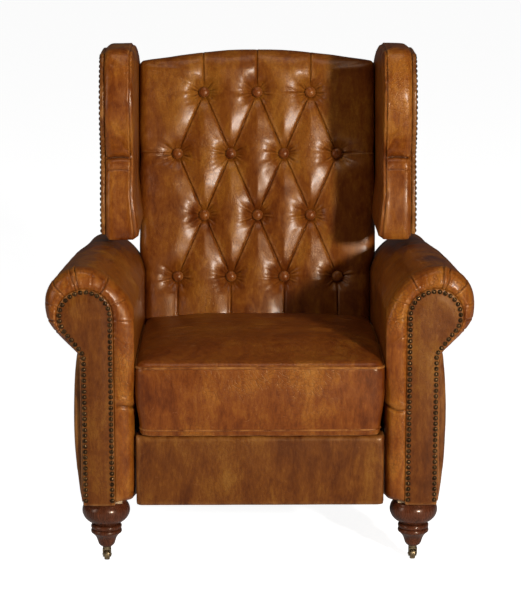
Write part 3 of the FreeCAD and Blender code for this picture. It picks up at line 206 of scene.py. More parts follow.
def widen(places, start, run, amount):
    """Moves points outward from the middle, from nothing at start to the whole amount a run further out."""
    outer = smooth_step((np.abs(places[:, 0]) - start) / run)
    places[:, 0] += np.sign(places[:, 0]) * outer * amount


def finder(places):
    tree = kdtree.KDTree(len(places))
    for index, place in enumerate(places):
        tree.insert(place, index)
    tree.balance()
    return tree


def distance_to(tree, places):
    return np.array([tree.find(Vector(p))[2] for p in places])


# ------------ cutting and stuffing covers
def settle(modifier):
    """Makes a modifier's work on the active piece last."""
    bpy.ops.object.modifier_apply(modifier=modifier.name)


def cover_from(node, name, voxel):
    """An even skin over the outside of a CAD node's shape, ready to be stuffed and sewn."""
    cover = add_object(name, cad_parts[node].data.copy())
    cover.data.materials.clear()
    merged = bmesh.new()
    merged.from_mesh(cover.data)
    bmesh.ops.remove_doubles(merged, verts=merged.verts, dist=1e-5)
    shells = shells_of(merged)
    outermost = max(shells, key=lambda corners: (box_of(corners)[1] - box_of(corners)[0]).length)
    hollows = [corner for corners in shells if corners is not outermost for corner in corners]
    bmesh.ops.delete(merged, geom=hollows, context="VERTS")
    merged.to_mesh(cover.data)
    merged.free()
    pick(cover)
    skin = cover.modifiers.new("skin", "REMESH")
    skin.mode = "VOXEL"
    skin.voxel_size = voxel
    skin.use_smooth_shade = True
    settle(skin)
    return cover


def weigh(cover, name, weights):
    """A vertex group of the points that weigh anything."""
    group = cover.vertex_groups.new(name=name)
    for index in np.nonzero(weights > 0.01)[0]:
        group.add([int(index)], float(weights[index]), "REPLACE")
    return group


def relax(cover, chosen, repeat):
    """Rounds the chosen part of a cover over its edges."""
    group = weigh(cover, "relaxed", chosen)
    pick(cover)
    soft = cover.modifiers.new("relax", "SMOOTH")
    soft.factor = 0.5
    soft.iterations = repeat
    soft.vertex_group = group.name
    settle(soft)
    cover.vertex_groups.remove(cover.vertex_groups["relaxed"])


def stuff(cover, pressure, cap, held):
    """Blows a cover up against its seams as filling does, with each point kept within the cap.

    Held is 1 where the cover is fixed.
    """
    before = points_of(cover)
    group = weigh(cover, "held", held)
    pick(cover)
    filling = cover.modifiers.new("filling", "CLOTH")
    cloth = filling.settings
    cloth.quality = 2
    cloth.mass = 0.4
    cloth.tension_stiffness = 12
    cloth.compression_stiffness = 12
    cloth.shear_stiffness = 6
    cloth.bending_stiffness = 1.5
    cloth.use_pressure = True
    cloth.uniform_pressure_force = pressure
    cloth.effector_weights.gravity = 0
    cloth.vertex_group_mass = group.name
    filling.collision_settings.use_collision = False
    filling.point_cache.frame_start = 1
    filling.point_cache.frame_end = FILLING_STEPS
    for step in range(1, FILLING_STEPS + 1):
        scene.frame_set(step)
    settle(filling)
    scene.frame_set(1)
    moved = points_of(cover) - before
    length = np.linalg.norm(moved, axis=1)
    share = np.minimum(1, cap / np.maximum(length, 1e-9))
    set_points(cover, before + moved * share[:, None])
    cover.vertex_groups.remove(cover.vertex_groups["held"])


def refine(cover):
    """One even subdivision."""
    pick(cover)
    finer = cover.modifiers.new("finer", "SUBSURF")
    finer.levels = finer.render_levels = 1
    settle(finer)


def refine_part(cover, chosen):
    """Subdivides only the faces whose corners are all chosen."""
    pick(cover)
    bpy.ops.object.mode_set(mode="EDIT")
    bpy.ops.mesh.select_mode(type="FACE")
    bpy.ops.mesh.select_all(action="DESELECT")
    bpy.ops.object.mode_set(mode="OBJECT")
    for face in cover.data.polygons:
        face.select = all(chosen[corner] for corner in face.vertices)
    bpy.ops.object.mode_set(mode="EDIT")
    bpy.ops.mesh.subdivide(number_cuts=1, smoothness=0)
    bpy.ops.mesh.select_all(action="DESELECT")
    bpy.ops.object.mode_set(mode="OBJECT")


def finished(piece, material, body, replaced=()):
    """Dresses a piece, gives it to its body and hides what it stands for."""
    piece.data.materials.clear()
    piece.data.materials.append(material)
    pick(piece)
    bpy.ops.object.shade_smooth()
    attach(piece, body)
    if replaced:
        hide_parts(*replaced)
    return piece


# ------------ finishes
class Finish:
    """A material with its nodes laid out by a few short calls."""

    def __init__(self, name):
        self.material = bpy.data.materials.new(name)
        self.material.use_nodes = True
        self.nodes = self.material.node_tree.nodes
        self.links = self.material.node_tree.links
        self.shader = self.nodes["Principled BSDF"]
        self.place = self.nodes.new("ShaderNodeTexCoord").outputs["Object"]

    def join(self, source, target):
        self.links.new(source, target)

    def node(self, kind, **constants):
        """A new node, with its constants set straight onto its sockets."""
        made = self.nodes.new("ShaderNode" + kind)
        for name, value in constants.items():
            made.inputs[name.replace("_", " ")].default_value = value
        return made

    def placed(self, kind, place, **constants):
        """A node that works on a place: the object's own, if no other is given."""
        made = self.node(kind, **constants)
        self.join(place or self.place, made.inputs["Vector"])
        return made

    def shift(self, scale, turn=(0, 0, 0)):
        """The object's own place, stretched and turned."""
        return self.placed("Mapping", None, Scale=scale, Rotation=turn).outputs["Vector"]

    def cloud(self, scale, detail=4.0, rough=0.55, twist=0.0, place=None):
        made = self.placed("TexNoise", place, Scale=scale, Detail=detail, Roughness=rough, Distortion=twist)
        return made.outputs["Fac"]

    def cells(self, scale, edges=False, place=None):
        made = self.placed("TexVoronoi", place, Scale=scale)
        made.feature = "DISTANCE_TO_EDGE" if edges else "F1"
        return made.outputs["Distance"]

    def bands(self, scale, axis, twist):
        made = self.placed("TexWave", None, Scale=scale, Distortion=twist)
        made.bands_direction = axis
        return made.outputs["Fac"]

    def bent_place(self, scale, amount):
        """The place pushed about by a cloud, so that straight patterns curve."""
        cloud = self.placed("TexNoise", None, Scale=scale)
        push = self.node("VectorMath")
        push.operation = "MULTIPLY_ADD"
        push.inputs[1].default_value = (amount, amount, amount)
        self.join(cloud.outputs["Color"], push.inputs[0])
        self.join(self.place, push.inputs[2])
        return push.outputs["Vector"]

    def ramp(self, source, stops):
        node = self.node("ValToRGB")
        ramp = node.color_ramp
        while len(ramp.elements) < len(stops):
            ramp.elements.new(0.5)
        for element, (place, colour) in zip(ramp.elements, stops):
            element.position = place
            element.color = (*colour, 1) if len(colour) == 3 else (colour[0],) * 3 + (1,)
        self.join(source, node.inputs["Fac"])
        return node.outputs["Color"]

    def span(self, source, low, high, new_low=0.0, new_high=1.0):
        node = self.node("MapRange", From_Min=low, From_Max=high, To_Min=new_low, To_Max=new_high)
        self.join(source, node.inputs["Value"])
        return node.outputs["Result"]

    def work(self, operation, first, second):
        node = self.node("Math")
        node.operation = operation
        for index, value in enumerate((first, second)):
            if isinstance(value, (int, float)):
                node.inputs[index].default_value = value
            else:
                self.join(value, node.inputs[index])
        return node.outputs["Value"]

    def times(self, first, second):
        return self.work("MULTIPLY", first, second)

    def mixed(self, *shares):
        """The sum of some heights, each given with its share."""
        total = self.times(*shares[0])
        for share in shares[1:]:
            total = self.work("ADD", total, self.times(*share))
        return total

    def blend(self, share, under, over):
        node = self.node("Mix")
        node.data_type = "RGBA"
        sockets = [s for s in node.inputs if s.type == "RGBA"]
        for socket, value in zip(sockets, (under, over)):
            if isinstance(value, tuple):
                socket.default_value = (*value, 1)
            else:
                self.join(value, socket)
        if isinstance(share, (int, float)):
            node.inputs["Factor"].default_value = share
        else:
            self.join(share, node.inputs["Factor"])
        return [s for s in node.outputs if s.type == "RGBA"][0]

    def shade_and_wear_pointiness(self):
        """How much a spot stands out of the surface or lies in a fold: used to paint shade into hollows, and
        paler wear with a painted highlight onto ridges.
        """
        return self.node("NewGeometry").outputs["Pointiness"]

    def relief(self, height, strength, depth, under=None):
        node = self.node("Bump", Strength=strength, Distance=depth)
        self.join(height, node.inputs["Height"])
        if under is not None:
            self.join(under, node.inputs["Normal"])
        return node.outputs["Normal"]

    def set(self, **values):
        """Constants go straight onto the shader's own sockets."""
        for name, value in values.items():
            self.shader.inputs[name.replace("_", " ")].default_value = value

    def colour(self, source):
        self.join(source, self.shader.inputs["Base Color"])

    def rough(self, source):
        self.join(source, self.shader.inputs["Roughness"])

    def normal(self, source):
        self.join(source, self.shader.inputs["Normal"])


# tan hide from its darkest to its palest, as (share of the cloud, colour)
HIDE_TONES = (
    (0.36, (0.070, 0.0115, 0.0018)),
    (0.44, (0.130, 0.0275, 0.0030)),
    (0.51, (0.195, 0.0500, 0.0050)),
    (0.58, (0.270, 0.0870, 0.0085)),
    (0.66, (0.345, 0.1330, 0.0170)),
)
# painted shade for creases and folds, also the real colour of the dark crackle lines
CREASE_SHADE_AND_CRACKLE_TONE = (0.022, 0.0045, 0.0012)
# paler tone for raised ridges: partly rubbed wear, partly a painted highlight
RUBBED_AND_HIGHLIGHT_TONE = (0.47, 0.205, 0.055)
SCUFF_TONE = (0.50, 0.235, 0.080)
WAX_TINT = (1.0, 0.62, 0.30, 1.0)
POLISH_TINT = (1.0, 0.72, 0.52, 1.0)


def aged_leather(name, lightness=1.0, scuffs=0.0, crackle=0.5, turn=0.0, red=0.0):
    """Waxed pull-up hide: cloudy tan over red brown, darker in the folds as painted shade, paler on ridges as
    rubbed wear and a painted highlight.
    """
    hide = Finish(name)
    place = hide.shift((1, 1, 1), (turn, turn * 0.7, turn * 1.3))
    brushed = hide.shift((1.5, 1.0, 0.55), (0, 0, turn))
    broad = hide.cloud(5.5, 5, 0.6, 0.6, place)
    patches = hide.cloud(21, 6, 0.66, 0.7, brushed)
    fine = hide.cloud(120, 5, 0.7, 0.5, brushed)
    tan = hide.ramp(hide.mixed((broad, 0.40), (patches, 0.38), (fine, 0.22)), [
        (share, (r * lightness, g * lightness * (1 - red), b * lightness)) for share, (r, g, b) in HIDE_TONES
    ])
    # painted shade: folds and hollows are darkened towards the crease tone
    folds = hide.span(hide.shade_and_wear_pointiness(), 0.43, 0.494, 1.0, 0.0)
    tan = hide.blend(hide.times(folds, 0.85), tan, CREASE_SHADE_AND_CRACKLE_TONE)
    # paler on raised ridges: partly rubbed wear, partly a painted highlight
    rubbed_and_highlit = hide.times(hide.span(hide.shade_and_wear_pointiness(), 0.512, 0.57), hide.span(patches, 0.36, 0.60))
    tan = hide.blend(hide.times(rubbed_and_highlit, 0.60), tan, RUBBED_AND_HIGHLIGHT_TONE)
    wrinkle_place = hide.bent_place(16, 0.030)
    wrinkles = hide.cells(120, True, wrinkle_place)
    where = hide.span(broad, 0.44, 0.60)
    dark_lines = hide.times(hide.span(wrinkles, 0.0, 0.11, 1.0, 0.0), where)
    tan = hide.blend(hide.times(dark_lines, 0.35 * crackle), tan, CREASE_SHADE_AND_CRACKLE_TONE)
    if scuffs:
        fine_place = hide.bent_place(30, 0.035)
        line = hide.cells(26, True, fine_place)
        scratch = hide.span(line, 0.0, 0.010, 1.0, 0.0)
        broken = hide.span(hide.cloud(34, 4, 0.65, 0.0), 0.56, 0.66)
        scratch = hide.times(scratch, broken)
        tan = hide.blend(hide.times(scratch, scuffs), tan, SCUFF_TONE)
    hide.colour(tan)
    gloss = hide.span(patches, 0.3, 0.7, 0.27, 0.38)
    hide.rough(hide.work("ADD", gloss, hide.times(fine, 0.06)))
    creased = hide.blend(where, (1.0, 1.0, 1.0), hide.span(wrinkles, 0.0, 0.09))
    surface = hide.relief(creased, 0.30 * crackle, 0.0012)
    surface = hide.relief(hide.cells(640, False, place), 0.25, 0.0005, surface)
    surface = hide.relief(fine, 0.22, 0.0010, surface)
    surface = hide.relief(hide.cloud(38, 4, 0.6, 0.5, place), 0.30, 0.0020, surface)
    hide.normal(surface)
    hide.set(Specular_IOR_Level=0.32, Specular_Tint=WAX_TINT)
    hide.set(Coat_Weight=0.20, Coat_Roughness=0.24, Coat_IOR=1.45)
    return hide.material


def polished_wood(name, dark, light, gloss):
    """Turned or sawn timber with its grain running upward, darkened in its hollows as painted shade."""
    wood = Finish(name)
    stretched = wood.shift((16, 16, 1.6))
    grain = wood.cloud(5, 8, 0.62, 1.2, stretched)
    lines = wood.cloud(34, 4, 0.6, 0.3, stretched)
    both = wood.mixed((grain, 0.65), (lines, 0.35))
    middling = tuple((d + l) / 2 for d, l in zip(dark, light))
    stain = wood.ramp(both, [(0.32, dark), (0.52, middling), (0.70, light)])
    # painted shade: hollows and folds are darkened
    folds = wood.span(wood.shade_and_wear_pointiness(), 0.42, 0.5, 1.0, 0.0)
    stain = wood.blend(wood.times(folds, 0.7), stain, tuple(c * 0.25 for c in dark))
    wood.colour(stain)
    wood.rough(wood.span(lines, 0.3, 0.7, gloss - 0.06, gloss + 0.10))
    wood.normal(wood.relief(both, 0.25, 0.0008))
    wood.set(Specular_IOR_Level=0.35, Specular_Tint=POLISH_TINT)
    wood.set(Coat_Weight=0.12, Coat_Roughness=0.15)
    return wood.material


def metal(name, dark, light, rough_low, rough_high, pits, spread):
    """Cast or rolled metal with its patina, darkened in its hollows as painted shade."""
    cast = Finish(name)
    cloud = cast.cloud(spread, 5, 0.6, 0.4)
    specks = cast.cloud(spread * 9, 4, 0.6, 0.0)
    both = cast.mixed((cloud, 0.6), (specks, 0.4))
    skin = cast.ramp(both, [(0.36, dark), (0.64, light)])
    # painted shade: hollows and folds are darkened
    folds = cast.span(cast.shade_and_wear_pointiness(), 0.42, 0.5, 1.0, 0.0)
    skin = cast.blend(cast.times(folds, 0.7), skin, tuple(c * 0.2 for c in dark))
    cast.colour(skin)
    cast.rough(cast.span(specks, 0.3, 0.7, rough_low, rough_high))
    cast.normal(cast.relief(specks, pits, 0.0004))
    cast.set(Metallic=1.0)
    return cast.material


def woven(name, dark, light, threads):
    """Cloth or webbing of crossed threads."""
    cloth = Finish(name)
    across = cloth.bands(threads, "X", 0.4)
    along = cloth.bands(threads, "Z", 0.4)
    deep = cloth.bands(threads, "Y", 0.4)
    weave = cloth.work("MAXIMUM", cloth.work("MAXIMUM", across, along), deep)
    slubs = cloth.cloud(60, 4, 0.6, 0.3)
    both = cloth.mixed((weave, 0.4), (slubs, 0.6))
    cloth.colour(cloth.ramp(both, [(0.3, dark), (0.8, light)]))
    cloth.rough(cloth.span(slubs, 0.3, 0.7, 0.72, 0.90))
    cloth.normal(cloth.relief(weave, 0.5, 0.0004))
    cloth.set(Sheen_Weight=0.25, Sheen_Roughness=0.5)
    return cloth.material


def moulded(name, dark, light):
    """Slightly mottled nylon or foam."""
    body = Finish(name)
    cloud = body.cloud(120, 4, 0.6, 0.0)
    body.colour(body.ramp(cloud, [(0.3, dark), (0.7, light)]))
    body.rough(body.span(cloud, 0.3, 0.7, 0.45, 0.62))
    body.normal(body.relief(body.cells(500), 0.2, 0.0004))
    return body.material


leather = aged_leather("tan_leather", 0.92, 0.0, 0.6)
# the seat's lightness was raised to brighten its dimly lit top, so part of its tone is painted light
seat_leather = aged_leather("seat_leather_scuffed", 0.88, 0.45, 1.0, 0.6, 0.08)
panel_leather = aged_leather("panel_leather", 0.64, 0.15, 0.6, 1.1)
arm_leather = aged_leather("arm_leather", 1.10, 0.25, 1.2, 1.9)
wing_leather = aged_leather("wing_leather", 1.05, 0.0, 0.6, 2.6)
button_leather = aged_leather("button_leather", 0.85, 0.0, 0.3, 0.3, 0.15)
welt_leather = aged_leather("welt_leather", 0.95, 0.0, 0.3, 3.1)
leg_wood = polished_wood("leg_wood", (0.024, 0.0055, 0.0022), (0.130, 0.034, 0.012), 0.26)
frame_wood = polished_wood("frame_wood", (0.32, 0.20, 0.10), (0.58, 0.42, 0.25), 0.60)
old_brass = metal("old_brass", (0.016, 0.009, 0.005), (0.120, 0.062, 0.024), 0.22, 0.36, 0.2, 90)
caster_brass = metal("caster_brass", (0.12, 0.085, 0.045), (0.42, 0.31, 0.17), 0.28, 0.44, 0.2, 60)
bright_steel = metal("zinc_steel", (0.30, 0.30, 0.31), (0.55, 0.55, 0.56), 0.30, 0.46, 0.1, 30)
black_steel = metal("black_steel", (0.012, 0.012, 0.013), (0.045, 0.045, 0.048), 0.42, 0.56, 0.1, 30)
black_cloth = woven("black_cloth", (0.006, 0.006, 0.006), (0.030, 0.030, 0.031), 220)
jute = woven("jute_webbing", (0.16, 0.11, 0.06), (0.42, 0.32, 0.19), 160)
nylon = moulded("white_nylon", (0.55, 0.54, 0.50), (0.72, 0.71, 0.67))
foam = moulded("cream_foam", (0.62, 0.54, 0.34), (0.78, 0.70, 0.48))

FINISHES = {
    leg_wood: ["left_front_leg", "right_front_leg", "left_rear_leg", "right_rear_leg"],
    frame_wood: [
        "left_arm_frame", "right_arm_frame", "front_cross_rail", "rear_cross_rail", "channel_blocks",
        "seat_side_rails", "seat_front_rail", "seat_rear_rail", "back_frame", "wing_boards", "footrest_board",
    ],
    old_brass: ["arm_nails", "wing_nails"],
    caster_brass: ["left_caster_fork", "right_caster_fork", "left_caster_wheel", "right_caster_wheel"],
    bright_steel: ["leg_bolts", "channel_screws", "glide_bolts", "back_pivot_bolts", "seat_springs"],
    black_steel: [
        "left_glide_channel", "right_glide_channel", "left_seat_plate", "right_seat_plate", "rear_links",
        "front_links", "steady_links", "carrier_links", "footrest_brackets", "torque_tube", "back_brackets",
    ],
    jute: ["back_webbing"],
    nylon: ["glide_shoes", "spring_clips", "rear_leg_pads"],
    foam: ["seat_cushion_foam"],
}
for finish, members in FINISHES.items():
    for member in members:
        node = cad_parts[member]
        node.data.materials.clear()
        node.data.materials.append(finish)


# ------------ the leaning back's own directions
def to_back(places):
    """(across, along, ahead) of points, measured on the leaning back from its hinge."""
    y, z = places[:, 1] - HINGE_Y, places[:, 2] - HINGE_Z
    along = y * math.sin(LEAN) + z * math.cos(LEAN)
    ahead = -y * math.cos(LEAN) + z * math.sin(LEAN)
    return np.stack([places[:, 0], along, ahead], axis=1)


def from_back(measured):
    across, along, ahead = measured.T
    y = HINGE_Y - ahead * math.cos(LEAN) + along * math.sin(LEAN)
    z = HINGE_Z + along * math.cos(LEAN) + ahead * math.sin(LEAN)
    return np.stack([across, y, z], axis=1)


button_middles = to_back(np.array([tuple(m) for m in solid_middles("back_buttons")]))
FOLD_KINDS = ["rising", "falling", "upright", "level"]


def fold_lines():
    """Every sewn fold of the buttoned back: (start, end, depth, kind)."""
    spots = [(b[0], b[1]) for b in button_middles]
    lowest = min(b[1] for b in spots)
    highest = max(b[1] for b in spots)
    top = to_back(np.array([tuple(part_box("back_cushion")[1])]))[0][1]
    folds = []
    for low in spots:
        for high in spots:
            climb, step = high[1] - low[1], high[0] - low[0]
            if abs(climb - BUTTON_ROW) < 20 * MM and abs(abs(step) - BUTTON_PITCH / 2) < 8 * MM:
                folds.append((low, high, 9 * MM, "rising" if step > 0 else "falling"))
    for spot in spots:
        if spot[1] < lowest + 20 * MM:
            folds.append((spot, (spot[0] * 1.01, FOLD_FOOT), 6.5 * MM, "upright"))
        if spot[1] > highest - 20 * MM:
            folds.append((spot, (spot[0] * 1.02, top + 30 * MM), 6.5 * MM, "upright"))
        if abs(spot[1] - highest + BUTTON_ROW) < 20 * MM and abs(spot[0]) > BUTTON_PITCH:
            end = (math.copysign(FOLD_SIDE, spot[0]), spot[1] + 3 * MM)
            folds.append((spot, end, 4 * MM, "level"))
    return folds


def nearest_fold(flat, folds):
    """For each point: its distance from the nearest fold, the side it lies on, the share along the fold,
    the fold's depth and kind, and the way to it."""
    best = np.full(len(flat), 1e9)
    side, share, depth = np.zeros(len(flat)), np.zeros(len(flat)), np.zeros(len(flat))
    towards = np.zeros((len(flat), 2))
    kinds = np.zeros(len(flat), int)
    for start, end, deep, kind in folds:
        start, end = np.array(start), np.array(end)
        run = end - start
        t = np.clip(((flat - start) @ run) / (run @ run), 0, 1)
        off = flat - (start + t[:, None] * run)
        gap = np.linalg.norm(off, axis=1)
        closer = gap < best
        best = np.where(closer, gap, best)
        across = np.array([run[1], -run[0]]) / np.linalg.norm(run)
        side = np.where(closer, np.sign(off @ across), side)
        share = np.where(closer, t, share)
        depth = np.where(closer, deep, depth)
        kinds = np.where(closer, FOLD_KINDS.index(kind), kinds)
        towards = np.where(closer[:, None], -off / np.maximum(gap, 1e-9)[:, None], towards)
    return best, side, share, depth, kinds, towards


def from_buttons(measured):
    """The distance of each point from each button, across the face of the back."""
    return np.linalg.norm(measured[:, None, :2] - button_middles[None, :, :2], axis=2)


def buttoned_back():
    """The deep-buttoned inside back: pillows between sewn folds, pulled in at each button."""
    cover = cover_from("back_cushion", "buttoned_back", VOXEL)
    measured = to_back(points_of(cover))
    face = np.percentile(measured[:, 2], 95)
    # the frame's button pockets are closed up first, and drawn in again once the cover is full
    from_button = from_buttons(measured).min(axis=1)
    pocket = (from_button < BUTTON_PIT) & (measured[:, 2] > face - BUTTON_PIT) & (measured[:, 2] < face)
    measured[pocket, 2] = face
    set_points(cover, from_back(measured))
    fronting = rise(measured[:, 2], face - 45 * MM, 20 * MM)
    rim = 1 - smooth_step((CUSHION_HALF - np.abs(measured[:, 0])) / (30 * MM))
    held = np.maximum.reduce([1 - fronting, 0.7 * hump(from_button, 20 * MM), rim])
    stuff(cover, 4.0, 9 * MM, held)
    refine(cover)
    folds = fold_lines()
    measured = to_back(points_of(cover))
    gap = nearest_fold(measured[:, :2], folds)[0]
    from_button = from_buttons(measured).min(axis=1)
    fronting = measured[:, 2] > face - 30 * MM
    refine_part(cover, fronting & ((gap < 9 * MM) | (from_button < BUTTON_PIT)))

    places, facing = points_of(cover), normals_of(cover)
    measured = to_back(places)
    top = measured[:, 1].max()
    ahead_way = np.array([0, -math.cos(LEAN), math.sin(LEAN)])
    fronting = smooth_step((facing @ ahead_way + 0.1) / 0.5)
    fronting *= rise(measured[:, 2], face - 60 * MM, 25 * MM)
    edge = smooth_step((top - 4 * MM - measured[:, 1]) / (50 * MM))
    flat = measured[:, :2]
    gap, side, share, depth, kinds, towards = nearest_fold(flat, folds)
    reach = 11 * MM
    pulled = np.where(gap < reach, gap - reach * (np.minimum(gap, reach) / reach) ** 1.9, 0)
    from_button = from_buttons(flat)
    nearest = np.argmin(from_button, axis=1)
    from_button = from_button[np.arange(len(flat)), nearest]
    pulled = pulled * rise(from_button, 8 * MM, 14 * MM) * fronting
    flat = flat + towards * pulled[:, None]
    measured[:, :2] = flat
    gap = np.maximum(gap - pulled, 0)

    near_end = 1 - np.minimum(share, 1 - share) * 2
    # upright and level folds have a button at their start only, and a level one runs out
    near_end = np.where(kinds >= FOLD_KINDS.index("upright"), 1 - share, near_end)
    fold_depth = depth * (0.75 + 0.65 * np.clip(near_end, 0, 1) ** 2)
    fold_depth = np.where(kinds == FOLD_KINDS.index("level"), depth * (1 - share) * 1.3, fold_depth)
    crease = 0.66 * fold_depth * np.exp(-gap / (2.2 * MM))
    pillow = 0.34 * fold_depth * hump(gap, 20 * MM) * (0.35 + 0.65 * edge)
    lip = np.where(side > 0, LIP, FAR_LIP) * hump(gap - 3.2 * MM, 1.9 * MM)
    lip *= rise(from_button, 12 * MM, 16 * MM)
    crater = 11.5 * MM * np.exp(-((np.maximum(from_button - 9 * MM, 0) / (16 * MM)) ** 1.25))
    crater += 3 * MM * hump(from_button, BUTTON_PIT)
    deep = np.maximum(crease + pillow, crater) + 0.25 * np.minimum(crease + pillow, crater)

    spot = button_middles[nearest]
    angle = np.arctan2(flat[:, 1] - spot[:, 1], flat[:, 0] - spot[:, 0])
    seed = nearest * 1.7
    fan = (
        0.55 * np.cos(9 * angle + seed * 3.1)
        + 0.45 * np.cos(14 * angle + seed * 5.3)
        + 0.40 * np.cos(21 * angle + seed * 2.2 + from_button * 60)
    )
    sideways = 0.25 + 0.75 * np.abs(np.cos(angle)) ** 2
    fan_depth = 1.5 * MM * hump(from_button - 21 * MM, 10 * MM) * sideways
    fan_depth += 0.5 * MM * hump(from_button - 38 * MM, 14 * MM) * sideways
    slack = 0.8 * MM * wander(measured / 0.030, 1.0, 3) + 1.5 * MM * wander(measured / 0.085, 1.0, 5)
    full = 3 * MM * smooth_step(gap / (40 * MM)) * edge
    lifted = (lip + fan * fan_depth - deep + slack + full) * fronting
    places = from_back(measured) + facing * lifted[:, None]
    # from the seat's top up the sides swell out to the arms, and above those to the wings
    swell = SIDE_SWELL * smooth_step((places[:, 2] - cushion_high.z + 90 * MM) / (50 * MM))
    swell += WING_SWELL * smooth_step((places[:, 2] - ARM_TOP + 120 * MM) / (40 * MM))
    widen(places, 190 * MM, 50 * MM, swell)
    set_points(cover, places)
    finished(cover, leather, "back", ["back_cushion"])
    return face


def covered_buttons(face):
    """Leather-covered buttons, domed and drawn in at the rim, one for each on the frame."""
    deselect_all()
    bpy.ops.mesh.primitive_uv_sphere_add(segments=28, ring_count=16, radius=BUTTON_RADIUS)
    pattern = bpy.context.active_object
    places = points_of(pattern)
    around = np.arctan2(places[:, 1], places[:, 0])
    radius = np.linalg.norm(places[:, :2], axis=1)
    places[:, 2] = np.where(places[:, 2] > 0, places[:, 2] * 0.60, places[:, 2] * 0.35)
    places[:, 2] += 0.35 * MM * np.cos(14 * around) * rise(radius, 7 * MM, 4 * MM)
    set_points(pattern, places)
    made = []
    for across, along, _ in button_middles:
        button = add_object("button", pattern.data.copy())
        # the dome looks ahead along the leaning back
        turn = Matrix.Rotation(math.radians(90) - LEAN, 4, "X")
        spin = Matrix.Rotation(across * 31 + along * 17, 4, "Z")
        spot = from_back(np.array([[across, along, face - BUTTON_SINK]]))[0]
        button.data.transform(Matrix.Translation(Vector(spot)) @ turn @ spin)
        made.append(button)
    bpy.data.objects.remove(pattern)
    deselect_all()
    for button in made:
        button.select_set(True)
    bpy.context.view_layer.objects.active = made[0]
    bpy.ops.object.join()
    buttons = bpy.context.active_object
    buttons.name = "covered_buttons"
    finished(buttons, button_leather, "back", ["back_buttons"])


# ------------ arms
nail_spots = solid_middles("arm_nails")


def hand(side):
    return "left" if side < 0 else "right"


def nails_of(side):
    return [n for n in nail_spots if n.x * side > 0]


def scroll_middle(side):
    """The middle of the arm's front scroll, from the nails that go round it."""
    top = [n for n in nails_of(side) if n.z > SCROLL_NAILS]
    xs, zs = [n.x for n in top], [n.z for n in top]
    return (min(xs) + max(xs)) / 2, max(zs) - (max(xs) - min(xs)) / 2


# a pleat's place round the scroll in degrees from the seat side, its strength and its length
SCROLL_PLEATS = (
    (-34, 0.5, 30 * MM),
    (-6, 0.35, 26 * MM),
    (22, 0.4, 30 * MM),
    (57, 1.0, 58 * MM),
    (78, 0.3, 30 * MM),
    (101, 1.1, 60 * MM),
    (108, 0.7, 48 * MM),
    (133, 0.8, 50 * MM),
    (161, 0.4, 34 * MM),
    (186, 0.8, 44 * MM),
    (207, 0.6, 40 * MM),
)


